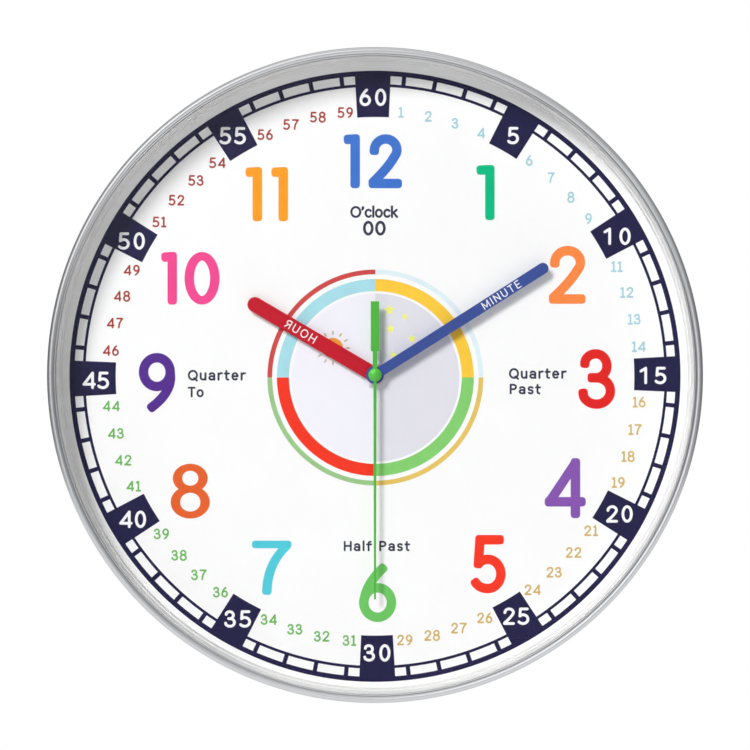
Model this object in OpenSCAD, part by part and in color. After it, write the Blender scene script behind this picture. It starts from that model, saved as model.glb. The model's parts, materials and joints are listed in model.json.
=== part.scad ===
// Teaching wall clock with a quartz movement, in the frame of its wall.
// Millimetres. The origin is on the hand spindle at the wall plane,
// +Z is up, +X is right as seen from the front, and the front faces -Y.
// Each piece is drawn in face coordinates (x right, y up, z out of the wall)
// and place() stands it up.

/* [Frame] */
// Outside diameter of the silver frame
case_d = 300; // [280:1:340]
// Thickness of the side wall of the frame
frame_wall = 1.6; // [1.4:0.1:2]
// How far the side wall stands in from the front roll
side_step = 0.5; // [0.3:0.1:0.8]
// Width of the front lip seen from the front
lip_w = 3.9; // [3.6:0.1:4.2]
// Thickness of the front lip from lens to crest
lip_t = 2; // [1.8:0.1:2.4]
// Radius of the main front roll
roll_r = 1.4; // [1.3:0.1:1.5]
// Radius of the inner bead on the lip
bead_r = 0.6; // [0.5:0.1:0.7]
// How far the bead lies below the crest
bead_drop = 0.4; // [0.3:0.1:0.5]
// Gap between the frame and the wall
rear_gap = 1; // [0.5:0.1:2]
// Number of screws that hold the frame to the back cover
frame_screw_n = 6; // [4:1:8]
// Distance of those screws from the wall
frame_screw_z = 6.5; // [5:0.5:8]
// Shank radius of those screws
frame_screw_r = 1.2; // [1:0.1:1.4]
// Head radius of those screws
frame_head_r = 2.4; // [2.2:0.1:2.8]
// Head height of those screws
frame_head_h = 1.2; // [0.8:0.1:1.3]
// Length of those screws
frame_screw_l = 8; // [6:0.5:9]

/* [Lens and spacer] */
// Thickness of the clear lens
lens_t = 2; // [1.5:0.1:2.5]
// Radial play of the discs inside the frame
disc_play = 0.25; // [0.2:0.05:0.4]
// Radial thickness of the white spacer ring at the dial
spacer_w = 2.9; // [2.5:0.1:3.5]
// Width of the ledge on the spacer ring
spacer_ledge = 0.8; // [0.4:0.1:1]
// Height of the ledge above the dial
spacer_step_h = 7; // [4:0.5:10]
// Gap between the dome of the second hand and the lens
lens_clear = 8.43; // [2:0.01:12]

/* [Dial and back cover] */
// Thickness of the dial card
dial_t = 1; // [0.6:0.1:1.4]
// Thickness of the plate that carries the dial
plate_t = 2.5; // [2:0.1:3]
// Thickness of the skirt of the back cover
skirt_t = 2.4; // [2:0.1:3]
// Thickness of the stiffening ribs
rib_t = 1.8; // [1.4:0.1:2.4]
// Height of the stiffening ribs
rib_h = 8; // [5:0.5:10]
// Number of radial ribs
rib_n = 8; // [8:4:16]
// Gap between the movement corners and the inner stiffening ring
ring_clear = 2.4; // [1.5:0.1:6]
// Inner radius of the outer stiffening ring
ring_outer_r = 84; // [70:1:95]
// Width of the blocks that take the frame screws
boss_w = 8; // [7:0.5:10]
// Solid end of those blocks past the screw tip
boss_end = 4.2; // [1:0.1:6]

/* [Hanger] */
// Distance of the round part of the keyhole below the top of the frame
key_drop = 38; // [34:1:44]
// Radius of the round part of the keyhole
key_r = 4.5; // [4:0.1:5]
// Half width of the slot of the keyhole
key_slot_r = 2.2; // [1.8:0.1:2.4]
// Rise of the slot end over the round part
key_rise = 7; // [6:0.5:8]
// Metal left above and below the keyhole
key_margin = 3.2; // [2:0.1:5]
// Thickness of the hanger plate
hanger_t = 1.2; // [1:0.1:1.6]
// Spacing of the two hanger screws
hanger_pitch = 30; // [28:0.5:34]
// Metal of the hanger plate beyond each screw
hanger_ear = 8; // [5:0.5:10]
// Corner radius of the hanger plate
hanger_corner = 4; // [2:0.5:6]
// Shank radius of the hanger screws
hanger_screw_r = 1.2; // [1:0.1:1.4]
// Head radius of the hanger screws
hanger_head_r = 2.7; // [2.4:0.1:3]
// Head height of the hanger screws
hanger_head_h = 1.4; // [1:0.1:1.8]
// Shank length of the hanger screws
hanger_screw_l = 8; // [6:0.5:10]
// Gap between the hanger screw heads and the wall
head_clear = 0.4; // [0.2:0.1:1]
// Radius of the pillars behind the hanger plate
pillar_r = 4; // [3.5:0.1:5]

/* [Movement case] */
// Corner radius of the movement
move_corner = 3.5; // [2.5:0.5:5]
// Thickness of its rear wall
rear_wall = 1.4; // [1.3:0.1:2]
// Thickness of its front wall
front_wall = 1.6; // [1.5:0.1:2.2]
// Thickness of its side walls
side_wall = 1.3; // [1:0.1:1.8]
// Height at which the two shells meet, from the rear
split_h = 8; // [6:0.5:10]
// Thickness of the wall beside the battery
bay_wall = 0.9; // [0.7:0.05:1.5]
// Gap between the largest wheel and that wall
wheel_clear = 0.46; // [0.3:0.02:1.5]
// Thickness of the rubber washer on the movement
rubber_t = 1; // [0.6:0.1:2]
// Radius of the rubber washer
rubber_r = 11; // [9:0.5:14]

/* [Battery] */
// Radius of the battery
cell_r = 6.9; // [6.6:0.05:6.95]
// Length of the battery with its nub
cell_l = 50.5; // [49:0.1:50.8]
// Radius of the nub
nub_r = 2.7; // [2.3:0.1:2.8]
// Length of the nub
nub_l = 1.2; // [1:0.1:1.5]
// Play of the battery in its bay
cell_play = 0.2; // [0.15:0.05:0.25]
// Thickness of the contact strips
strip_t = 0.4; // [0.3:0.05:0.5]
// Width of the contact strips
strip_h = 1.6; // [1:0.1:1.7]

/* [Spindle] */
// Radius of the seconds arbor
sec_r = 0.5; // [0.45:0.01:0.6]
// Running play between arbors and tubes
run_play = 0.08; // [0.05:0.01:0.1]
// Wall of the minute arbor
min_wall = 1.02; // [0.8:0.02:1.2]
// Wall of the hour tube
hour_wall = 0.82; // [0.6:0.02:1]
// Wall of the threaded bush
bush_wall = 1.42; // [1.2:0.02:1.6]
// Height of the bush above the nut
bush_over = 0.2; // [0.1:0.1:1.5]
// Thickness of the washer under the nut
washer_t = 0.2; // [0.1:0.1:1]
// Rim of that washer outside the bush
washer_rim = 2.5; // [2:0.1:5]
// Height of the nut
nut_h = 1.2; // [1:0.1:3]
// Wall of the nut at its corners
nut_rim = 1.8; // [1.6:0.1:3]

/* [Hands] */
// Thickness of the sheet of the hour and minute hands
hand_t = 0.6; // [0.4:0.05:0.8]
// Length of the hour hand from the spindle
hour_l = 67.8; // [55:0.1:75]
// Width of the hour hand
hour_w = 7; // [6.4:0.1:7.8]
// Rim of the hour hand hub round its tube
hour_hub_rim = 1.5; // [1:0.1:2]
// Length of the minute hand from the spindle
minute_l = 94.4; // [85:0.1:110]
// Width of the minute hand at its hub
minute_w = 4.6; // [4:0.1:5.2]
// Width of the minute hand at its tip
minute_tip_w = 5.2; // [4.6:0.1:5.6]
// Radius of the minute hand hub
minute_hub_r = 4.15; // [3.8:0.05:4.6]
// Thickness of the sheet of the second hand
second_t = 0.42; // [0.3:0.02:0.6]
// Length of the second hand needle
second_l = 103.5; // [95:0.5:115]
// Width of the needle at the hub
needle_w = 1.5; // [1.2:0.1:1.8]
// Width of the needle at its tip
needle_tip_w = 0.9; // [0.7:0.1:1.1]
// Length of the counterweight end from the spindle
tail_l = 34; // [28:0.1:40]
// Length of the counterweight bar
tail_bar_l = 23; // [18:0.1:24]
// Width of the counterweight bar
tail_bar_w = 3.9; // [3.4:0.1:4.4]
// Width of the neck between bar and hub
tail_neck_w = 2.1; // [1.8:0.1:2.5]
// Radius of the second hand hub
second_hub_r = 2.2; // [1.8:0.1:2.8]
// Radius of the dome on the second hand
dome_r = 3.1; // [2.8:0.1:3.5]
// Height of that dome
dome_h = 1.5; // [1.2:0.1:2.5]
// Height of the hour and minute hubs below their sheets
hub_step = 0.3; // [0.2:0.05:0.6]
// Height of the hour hub above its sheet
hour_rise = 0.3; // [0.2:0.05:0.6]
// Height of the minute hub above its sheet
minute_rise = 0.15; // [0.1:0.05:0.4]
// Height of the second hand hub below its sheet
second_step = 0.2; // [0.1:0.05:0.4]
// Gap between the hubs of the hour and minute hands
hand_gap = 0.5; // [0.4:0.05:1.5]
// Gap between the hubs of the minute and second hands
second_gap = 0.3; // [0.2:0.05:1]
// Clock angle of the hour hand at rest
hour_angle = 300.4; // [0:0.1:360]
// Clock angle of the minute hand at rest
minute_angle = 57.6; // [0:0.1:360]
// Clock angle of the second hand at rest
second_angle = 180; // [0:0.1:360]

/* [Setting knob] */
// Radius of the setting knob
knob_r = 5.5; // [5:0.1:6]
// Height of the setting knob
knob_h = 3; // [2:0.1:4]
// Gap between the knob and the movement
knob_gap = 0.4; // [0.3:0.05:1]
// Gap between the knob and the wall
knob_clear = 1.6; // [0.5:0.1:6]
// Radius of the setting shaft
shaft_r = 1.5; // [1.3:0.05:1.8]
// Floor of the knob behind its shaft
knob_floor = 1; // [0.6:0.1:1.4]
// Number of grips round the knob
grip_n = 18; // [14:1:20]
// Radius of each grip
grip_r = 0.6; // [0.4:0.05:0.7]

/* [Gear train] */
// Thickness of the wheels
wheel_t = 1; // [0.8:0.05:1.1]
// Gap between one wheel and the next
level_gap = 1.1; // [1:0.05:1.4]
// Gap of the train behind the front wall
front_clear = 0.7; // [0.5:0.05:1.5]
// Gap of the train before the rear wall
rear_clear = 0.8; // [0.6:0.05:1.5]
// Radius of the pivots
pivot_r = 0.5; // [0.4:0.02:0.55]
// Length of the pivots in the shells
pivot_l = 0.8; // [0.5:0.05:0.9]

/* [Motor] */
// Radius of the rotor magnet
magnet_r = 2.5; // [2.2:0.05:2.6]
// Height of the rotor magnet
magnet_h = 2.6; // [2.2:0.1:3]
// Gap between the magnet and the stator
air_gap = 0.6; // [0.4:0.05:0.7]
// Thickness of the stator and the coil core
lam_t = 1; // [0.8:0.05:1.2]
// Width of the stator round the rotor
stator_rim = 1.5; // [1.2:0.1:1.6]
// Width of the coil core
core_w = 2.4; // [2:0.1:2.6]
// Radius of the coil winding
coil_r = 2.8; // [2.6:0.05:3]
// Length of the coil winding
coil_l = 12.5; // [10:0.5:13]
// Thickness of the bobbin flanges
flange_t = 1; // [0.7:0.1:1.2]
// Thickness of the circuit board
board_t = 0.8; // [0.6:0.1:0.9]
// Width of the circuit board
board_w = 7.4; // [7:0.1:7.6]
// Length of the circuit board
board_l = 31; // [30.5:0.1:31.5]

/* [Hidden] */
$fn = 96;

// fits
press = 0.02;
loose = 0.05;
sink = 0.5;
min_r = sec_r + run_play + min_wall;
hour_r = min_r + run_play + hour_wall;
bush_r = hour_r + run_play + bush_wall;
sec_bore = sec_r + run_play;
min_bore = min_r + run_play;
hour_bore = hour_r + run_play;
hole_r = bush_r + 0.25;
pivot_bore = pivot_r + run_play;
pivot_hole = pivot_l + 0.2;
hour_hub_r = hour_r + hour_hub_rim;

// teeth and tooth size of the gear train
tooth_tip = 0.95;
tooth_root = 1.15;
tip_f = 0.09;
root_f = 0.29;
m_rotor = 0.3;
m_inter = 0.35;
m_sec = 0.34;
m_motion = 0.5;
n_rotor = 8;
n_inter = 40;
n_inter_p = 10;
n_sec = 60;
n_sec_p = 8;
n_third = 64;
n_third_p = 8;
n_centre = 60;
n_cannon = 12;
n_motion = 36;
n_motion_p = 10;
n_hour = 40;
n_set = 12;

// axes of the train in face coordinates
third_d = m_sec * (n_third + n_sec_p) / 2;
m_third = 2 * third_d / (n_third_p + n_centre);
motion_d = m_motion * (n_cannon + n_motion) / 2;
m_hour = 2 * motion_d / (n_motion_p + n_hour);
set_d = m_motion * (n_set + n_motion) / 2;
inter_d = m_inter * (n_inter_p + n_sec) / 2;
rotor_d = m_rotor * (n_rotor + n_inter) / 2;
third_a = 150;
motion_a = 60;
set_a = 45;
inter_a = 0;
rotor_a = -60;
at_third = third_d * [cos(third_a), sin(third_a)];
at_motion = motion_d * [cos(motion_a), sin(motion_a)];
at_set = at_motion + set_d * [cos(set_a), sin(set_a)];
at_inter = inter_d * [cos(inter_a), sin(inter_a)];
at_rotor = at_inter + rotor_d * [cos(rotor_a), sin(rotor_a)];

// turn of wheel b in mesh with wheel a, where dir points from a to b
function mesh_turn(dir, na, ta, nb) =
  dir + 180 - (0.5 - (dir - ta) * na / 360) * 360 / nb;
turn_inter = mesh_turn(rotor_a + 180, n_rotor, 0, n_inter);
turn_sec = mesh_turn(inter_a + 180, n_inter_p, 0, n_sec);
turn_third = mesh_turn(third_a, n_sec_p, 0, n_third);
turn_centre = mesh_turn(third_a + 180, n_third_p, 0, n_centre);
turn_motion = mesh_turn(motion_a, n_cannon, 0, n_motion);
turn_hour = mesh_turn(motion_a + 180, n_motion_p, 0, n_hour);
turn_set = mesh_turn(set_a, n_motion, turn_motion, n_set);

// the stack from the wall to the front
move_rear = knob_clear + knob_h + knob_gap;
zr = move_rear + rear_wall;
z_inter = zr + rear_clear;
z_sec = z_inter + wheel_t + level_gap;
z_third = z_sec + wheel_t + level_gap;
z_centre = z_third + wheel_t + level_gap;
z_motion = z_centre + wheel_t + level_gap;
z_hour = z_motion + wheel_t + level_gap;
zf = z_hour + wheel_t + front_clear;
move_front = zf + front_wall;
split_z = move_rear + split_h;
plate_rear = move_front + rubber_t;
dial_rear = plate_rear + plate_t;
dial_front = dial_rear + dial_t;
nut_z = dial_front + washer_t;
bush_top = nut_z + nut_h + bush_over;
hour_hub_z = bush_top + hub_step;
hour_z = hour_hub_z + hub_step;
hour_top = hour_z + hand_t + hour_rise;
minute_hub_z = hour_top + hand_gap;
minute_z = minute_hub_z + hub_step;
minute_top = minute_z + hand_t + minute_rise;
second_hub_z = minute_top + second_gap;
second_z = second_hub_z + second_step;
second_top = second_z + second_t;
lens_rear = second_top + dome_h + lens_clear;
lens_front = lens_rear + lens_t;
case_depth = lens_front + lip_t;

// a pinion reaches this far past its wheel
leaf_l = level_gap + wheel_t + 0.2;

// radii of the frame and the discs it holds
side_r = case_d / 2 - side_step;
frame_in_r = side_r - frame_wall;
disc_r = frame_in_r - disc_play;
lip_in_r = case_d / 2 - lip_w;
skirt_in_r = disc_r - skirt_t;
bead_z = case_depth - bead_drop - bead_r;
groove_z = case_depth - 1.2;
boss_l = frame_screw_l - frame_wall - disc_play - skirt_t + boss_end;

// hanger plate
hanger_z = head_clear + hanger_head_h;
hanger_w = hanger_pitch + 2 * hanger_ear;
hanger_h = key_r + key_rise + key_slot_r + 2 * key_margin;
key_y = case_d / 2 - key_drop;
hanger_y = key_y - key_r - key_margin + hanger_h / 2;

// movement outline and battery bay
train_r = m_third * (n_centre / 2 + tooth_tip);
bay_in = -(train_r + wheel_clear);
bay_top = bay_in - bay_wall;
cell_y = bay_top - cell_play - cell_r;
bay_x = cell_r + cell_play - cell_y;
half = bay_x + side_wall;
move_w = 2 * half;
ring_inner_r = half * sqrt(2) + ring_clear;
cell_z = zf - cell_play - cell_r;
contact_x = bay_x - strip_t;
cell_x1 = contact_x - nub_l;
cell_x0 = contact_x - cell_l;
strip_z = zf - 0.3 - strip_h;
contact_w = 10;

// motor layout
stator_in_r = magnet_r + air_gap;
stator_r = stator_in_r + stator_rim;
z_stator = z_third + 0.2;
z_core = z_stator + lam_t;
z_coil = z_core + lam_t / 2;
flange_r = coil_r + 0.2;
bobbin_r = core_w / 2 + 0.7;
core_x = bay_x - 0.2 - flange_r;
stem_x = at_rotor[0] + 1.2;
stem_w = core_x - flange_r - 0.3 - stem_x;
stem_y0 = bay_in + 1;
stem_y1 = stem_y0 + board_l + 0.2;
tab_h = 2.4;
coil_y = stem_y1 - tab_h - 0.3 - flange_t - coil_l;
post_r = 1.1;
post_pin_r = 0.6;
post_a = [stem_x + stem_w - post_r, stem_y0 + tab_h / 2];
post_b = [stem_x + stem_w / 2, stem_y1 - tab_h / 2];
z_board = z_coil + flange_r + 0.2;
board_front = z_board + board_t;
board_x = bay_x - 0.5 - board_w;
board_y = stem_y0 + 2;
peg_r = 1.3;
peg_pin_r = 0.7;
peg_x = board_x + board_w - 1.9;
peg_a = [peg_x, board_y + 5.6];
peg_b = [peg_x, board_y + board_l - 1.8];
can_r = 0.95;
chip_r = 3.2;
sleeve_r = pivot_r + 0.3;

module place() {
  rotate([90, 0, 0])
    children();
}

module at_level(z, h) {
  translate([0, 0, z])
    linear_extrude(height = h)
      children();
}

module round_square(w, h, r) {
  translate([-w / 2 + r, -h / 2])
    square([w - 2 * r, h]);
  translate([-w / 2, -h / 2 + r])
    square([w, h - 2 * r]);
  for (sx = [-1, 1], sy = [-1, 1])
    translate([sx * (w / 2 - r), sy * (h / 2 - r)])
      circle(r);
}

module ring(r_out, r_in) {
  difference() {
    circle(r_out);
    circle(r_in);
  }
}

// straight-flanked wheel with four corners to the tooth
module gear(n, m, turn) {
  tip = n * m / 2 + tooth_tip * m;
  root = n * m / 2 - tooth_root * m;
  corners = [[root, -root_f], [tip, -tip_f], [tip, tip_f], [root, root_f]];
  rotate(turn)
    polygon([for (i = [0:n - 1], c = corners)
      c[0] * [cos(360 / n * (i + c[1])), sin(360 / n * (i + c[1]))]]);
}

module rod(p, r, z0, z1) {
  translate([p[0], p[1], z0])
    cylinder(r = r, h = z1 - z0);
}

// case

module bezel_profile() {
  difference() {
    union() {
      translate([frame_in_r, rear_gap])
        square([frame_wall, case_depth - roll_r - rear_gap]);
      translate([lip_in_r, lens_front])
        square([bead_r, bead_z - lens_front]);
      translate([lip_in_r + bead_r, lens_front])
        square([side_r - lip_in_r - bead_r, groove_z - lens_front]);
      translate([lip_in_r + bead_r, bead_z])
        circle(bead_r);
      translate([case_d / 2 - roll_r, case_depth - roll_r])
        circle(roll_r);
    }
    translate([0, rear_gap])
      square([frame_in_r, lens_front - rear_gap]);
  }
}

module frame_screw_shape(play) {
  translate([0, 0, side_r])
    rotate([180, 0, 0]) {
      translate([0, 0, -play])
        cylinder(r1 = frame_head_r + play, r2 = frame_screw_r + play, h = frame_head_h + play);
      cylinder(r = frame_screw_r + play, h = frame_screw_l + play);
    }
}

module frame_screw_ring(play) {
  for (i = [0:frame_screw_n - 1])
    rotate(360 / frame_screw_n * i)
      translate([0, 0, frame_screw_z])
        rotate([0, 90, 0])
          frame_screw_shape(play);
}

module bezel_ring() {
  color("silver")
    place()
      difference() {
        rotate_extrude()
          bezel_profile();
        frame_screw_ring(0.1);
      }
}

module frame_screws() {
  color("lightgray")
    place()
      frame_screw_ring(0);
}

module lens() {
  color("lightcyan", 0.3)
    place()
      rod([0, 0], disc_r, lens_rear, lens_front);
}

module spacer_ring() {
  color("white")
    place()
      rotate_extrude()
        polygon([[disc_r - spacer_w, dial_front], [disc_r, dial_front], [disc_r, lens_rear],
          [disc_r - spacer_w + spacer_ledge + 0.3, lens_rear],
          [disc_r - spacer_w + spacer_ledge, dial_front + spacer_step_h],
          [disc_r - spacer_w + 0.2, dial_front + spacer_step_h]]);
}

module dial() {
  color("white")
    place()
      at_level(dial_rear, dial_t)
        ring(disc_r, hole_r);
}

module back_cover_solid() {
  at_level(plate_rear, plate_t)
    circle(disc_r);
  at_level(0, plate_rear + sink)
    ring(disc_r, skirt_in_r);
  at_level(plate_rear - rib_h, rib_h + sink) {
    ring(ring_inner_r + rib_t, ring_inner_r);
    ring(ring_outer_r + rib_t, ring_outer_r);
    for (i = [0:rib_n - 1])
      rotate(360 / rib_n * (i + 0.5))
        translate([ring_inner_r + rib_t / 2, -rib_t / 2])
          square([skirt_in_r + skirt_t / 2 - ring_inner_r - rib_t / 2, rib_t]);
  }
  for (i = [0:frame_screw_n - 1])
    rotate(360 / frame_screw_n * i)
      translate([skirt_in_r - boss_l, -boss_w / 2, frame_screw_z - boss_w / 2])
        cube([boss_l + skirt_t / 2, boss_w, boss_w]);
  for (s = [-1, 1]) {
    rod([s * hanger_pitch / 2, hanger_y], pillar_r, hanger_z + hanger_t, plate_rear + sink);
    translate([s * (half + 0.3 + rib_t / 2) - rib_t / 2, -half / 2, plate_rear - rib_h / 2])
      cube([rib_t, half, rib_h / 2 + sink]);
  }
}

module back_cover() {
  color("whitesmoke")
    place()
      difference() {
        back_cover_solid();
        rod([0, 0], hole_r, plate_rear - 1, dial_rear + 1);
        frame_screw_ring(loose);
        for (s = [-1, 1])
          rod([s * hanger_pitch / 2, hanger_y], hanger_screw_r + loose, hanger_z,
            hanger_z + hanger_screw_l + 0.5);
      }
}

module hanger_plate() {
  color("gainsboro")
    place()
      at_level(hanger_z, hanger_t)
        difference() {
          translate([0, hanger_y])
            round_square(hanger_w, hanger_h, hanger_corner);
          translate([0, key_y]) {
            circle(key_r);
            translate([-key_slot_r, 0])
              square([2 * key_slot_r, key_rise]);
            translate([0, key_rise])
              circle(key_slot_r);
          }
          for (s = [-1, 1])
            translate([s * hanger_pitch / 2, hanger_y])
              circle(hanger_screw_r + 0.2);
        }
}

module hanger_screws() {
  color("darkgray")
    place()
      for (s = [-1, 1])
        translate([s * hanger_pitch / 2, hanger_y, hanger_z]) {
          difference() {
            translate([0, 0, -hanger_head_h])
              cylinder(r1 = hanger_head_r * 0.8, r2 = hanger_head_r, h = hanger_head_h);
            for (a = [0, 90])
              rotate(a)
                translate([0, 0, -hanger_head_h])
                  cube([2.6, 0.6, 1.2], center = true);
          }
          cylinder(r = hanger_screw_r, h = hanger_screw_l);
        }
}

// spindle fixing

module rubber_washer() {
  color("dimgray")
    place()
      at_level(move_front, rubber_t)
        ring(rubber_r, hole_r);
}

module threaded_bush() {
  color("goldenrod")
    place()
      difference() {
        union() {
          rod([0, 0], bush_r - loose, zf, bush_top);
          rod([0, 0], bush_r + 0.9, zf, zf + 0.7);
        }
        rod([0, 0], hour_bore, zf - 1, bush_top + 1);
      }
}

module dial_washer() {
  color("gold")
    place()
      at_level(dial_front, washer_t)
        ring(bush_r + washer_rim, bush_r + 0.1);
}

module fixing_nut() {
  color("gold")
    place()
      at_level(nut_z, nut_h)
        difference() {
          circle(bush_r + nut_rim, $fn = 6);
          circle(bush_r);
        }
}

// movement case

module pivots(z0) {
  for (p = [at_third, at_motion, at_inter, at_rotor])
    rod(p, pivot_bore, z0, z0 + pivot_hole);
}

module movement_front_shell() {
  color("black")
    place()
      difference() {
        union() {
          at_level(zf, front_wall)
            round_square(move_w, move_w, move_corner);
          at_level(split_z, zf + sink - split_z)
            difference() {
              round_square(move_w, move_w, move_corner);
              square(2 * bay_x, center = true);
            }
          for (p = [peg_a, peg_b]) {
            rod(p, peg_r, board_front, zf + sink);
            rod(p, peg_pin_r, z_board - 0.2, zf + sink);
          }
        }
        rod([0, 0], bush_r, zf - 1, move_front + 1);
        rod([0, 0], bush_r + 0.95, zf - 1, zf + 0.7);
        pivots(zf);
        rod(at_set, pivot_bore, zf, zf + pivot_hole);
      }
}

module movement_rear_shell() {
  color("dimgray")
    place()
      difference() {
        union() {
          at_level(move_rear, rear_wall)
            round_square(move_w, move_w, move_corner);
          at_level(move_rear, split_h)
            difference() {
              round_square(move_w, move_w, move_corner);
              square(2 * bay_x, center = true);
            }
          translate([-bay_x, bay_top, move_rear])
            cube([2 * bay_x, bay_wall, zf - move_rear]);
          for (p = [post_a, post_b]) {
            rod(p, post_r, zr - sink, z_stator);
            rod(p, post_pin_r, zr - sink, z_core + lam_t + 0.2);
          }
        }
        translate([-bay_x, -bay_x, move_rear - 1])
          cube([2 * bay_x, bay_top + bay_x, rear_wall + 2]);
        for (s = [-1, 1])
          translate([s * bay_x, bay_top + bay_wall / 2, zf])
            cube([4 * strip_t, bay_wall + 1, 2 * strip_h + 1.2], center = true);
        pivots(zr - pivot_hole);
        rod([0, 0], sec_bore, zr - pivot_hole, zr + 1);
        rod(at_set, shaft_r + run_play, move_rear - 1, zr + 1);
      }
}

// battery and contacts

module battery() {
  color("darkslateblue")
    place()
      translate([cell_x0, cell_y, cell_z])
        rotate([0, 90, 0])
          cylinder(r = cell_r, h = cell_x1 - cell_x0);
}

module battery_nub() {
  color("silver")
    place()
      translate([cell_x1, cell_y, cell_z])
        rotate([0, 90, 0])
          cylinder(r = nub_r, h = nub_l);
}

module positive_contact() {
  color("khaki")
    place() {
      translate([contact_x, cell_y - contact_w / 2, cell_z - contact_w / 2])
        cube([strip_t, contact_w, strip_z + strip_h - cell_z + contact_w / 2]);
      translate([contact_x, cell_y, strip_z])
        cube([strip_t, board_y + 4 - cell_y, strip_h]);
      translate([contact_x - 2, board_y + 1, board_front])
        cube([2 + strip_t, 3, strip_t]);
      translate([contact_x, board_y + 1, board_front])
        cube([strip_t, 3, strip_z + strip_h - board_front]);
    }
}

module negative_contact() {
  color("khaki")
    place() {
      translate([-bay_x, cell_y - contact_w / 2, cell_z - contact_w / 2])
        cube([strip_t, contact_w, strip_z + strip_h - cell_z + contact_w / 2]);
      translate([0, 0, cell_z - 2.5])
        linear_extrude(height = 5)
          polygon([[-bay_x, cell_y - contact_w / 2], [-bay_x + strip_t, cell_y - contact_w / 2],
            [cell_x0, cell_y - 1], [cell_x0, cell_y + 1],
            [cell_x0 - strip_t, cell_y + 1], [cell_x0 - strip_t, cell_y - 0.9],
            [-bay_x, cell_y - contact_w / 2 + strip_t]]);
      translate([-bay_x, cell_y, strip_z])
        cube([strip_t, bay_in + strip_t - cell_y, strip_h]);
      translate([-bay_x, bay_in, strip_z])
        cube([bay_x + board_x + 2.4, strip_t, strip_h]);
      translate([board_x + 0.4, bay_in, board_front])
        cube([2, board_y + 2 - bay_in, strip_t]);
      translate([board_x + 0.4, bay_in, board_front])
        cube([2, strip_t, strip_z + strip_h - board_front]);
    }
}

// motor and electronics

module stator() {
  color("slategray")
    place()
      at_level(z_stator, lam_t)
        difference() {
          union() {
            translate([stem_x, stem_y0])
              square([stem_w, stem_y1 - stem_y0]);
            translate(at_rotor)
              circle(stator_r);
          }
          translate(at_rotor)
            circle(stator_in_r);
          for (p = [post_a, post_b])
            translate(p)
              circle(post_pin_r + loose);
        }
}

module coil_core() {
  color("lightslategray")
    place()
      at_level(z_core, lam_t)
        difference() {
          union() {
            translate([core_x - core_w / 2, stem_y0])
              square([core_w, stem_y1 - stem_y0]);
            translate([post_a[0] - post_r, stem_y0])
              square([core_x - post_a[0] + post_r, tab_h]);
            translate([post_b[0] - post_r, stem_y1 - tab_h])
              square([core_x - post_b[0] + post_r, tab_h]);
          }
          for (p = [post_a, post_b])
            translate(p)
              circle(post_pin_r + loose);
        }
}

module along_coil(y0) {
  translate([core_x, y0, z_coil])
    rotate([-90, 0, 0])
      children();
}

module coil_bobbin() {
  color("ivory")
    place()
      difference() {
        union() {
          along_coil(coil_y)
            cylinder(r = bobbin_r, h = coil_l);
          for (y = [coil_y - flange_t, coil_y + coil_l])
            along_coil(y)
              cylinder(r = flange_r, h = flange_t);
          for (y = [coil_y - flange_t, coil_y + coil_l])
            translate([core_x - 1.8, y, z_coil])
              cube([3.6, flange_t, z_board - z_coil]);
        }
        translate([core_x - core_w / 2 - press, coil_y - 2 * flange_t, z_core - press])
          cube([core_w + 2 * press, coil_l + 4 * flange_t, lam_t + 2 * press]);
      }
}

module coil_winding() {
  color("peru")
    place()
      along_coil(coil_y)
        difference() {
          cylinder(r = coil_r, h = coil_l);
          translate([0, 0, -1])
            cylinder(r = bobbin_r + press, h = coil_l + 2);
        }
}

module circuit_board() {
  color("darkgreen")
    place()
      at_level(z_board, board_t)
        difference() {
          translate([board_x, board_y])
            square([board_w, board_l]);
          for (p = [peg_a, peg_b])
            translate(p)
              circle(peg_pin_r + loose);
        }
}

module timing_chip() {
  color("black")
    place()
      intersection() {
        translate([board_x + board_w / 2, board_y + 13, board_front - chip_r + 1])
          sphere(chip_r);
        translate([board_x, board_y, board_front])
          cube([board_w, board_l, 2]);
      }
}

module quartz_crystal() {
  color("silver")
    place()
      translate([board_x + 3.2, board_y + 18, board_front + can_r])
        rotate([-90, 0, 0])
          cylinder(r = can_r, h = 6);
}

// gear train

module wheel_on_arbor(p, n_w, m_w, turn_w, n_p, m_p, z) {
  translate([p[0], p[1], 0]) {
    at_level(z, wheel_t)
      gear(n_w, m_w, turn_w);
    at_level(z + wheel_t - 0.1, leaf_l + 0.1)
      gear(n_p, m_p, 0);
  }
  rod(p, pivot_r, zr - pivot_l, zf + pivot_l);
  rod(p, pivot_r + 0.35, zr + 0.15, z + sink);
}

module rotor_pinion() {
  color("white")
    place() {
      translate([at_rotor[0], at_rotor[1], 0])
        at_level(z_inter - 0.2, wheel_t + 0.4)
          gear(n_rotor, m_rotor, 0);
      rod(at_rotor, pivot_r, zr - pivot_l, zf + pivot_l);
      rod(at_rotor, sleeve_r, z_inter + wheel_t, z_stator + (lam_t + magnet_h) / 2);
    }
}

module rotor_magnet() {
  color("dimgray")
    place()
      translate([at_rotor[0], at_rotor[1], 0])
        at_level(z_stator + (lam_t - magnet_h) / 2, magnet_h)
          ring(magnet_r, sleeve_r + press);
}

module intermediate_wheel() {
  color("white")
    place()
      wheel_on_arbor(at_inter, n_inter, m_rotor, turn_inter, n_inter_p, m_inter, z_inter);
}

module seconds_wheel() {
  color("white")
    place()
      difference() {
        union() {
          at_level(z_sec, wheel_t)
            gear(n_sec, m_inter, turn_sec);
          at_level(z_sec + wheel_t - 0.1, leaf_l + 0.1)
            gear(n_sec_p, m_sec, 0);
        }
        rod([0, 0], sec_r + press, zr, z_centre);
      }
}

module seconds_arbor() {
  color("silver")
    place()
      rod([0, 0], sec_r, zr - pivot_l, second_top);
}

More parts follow.
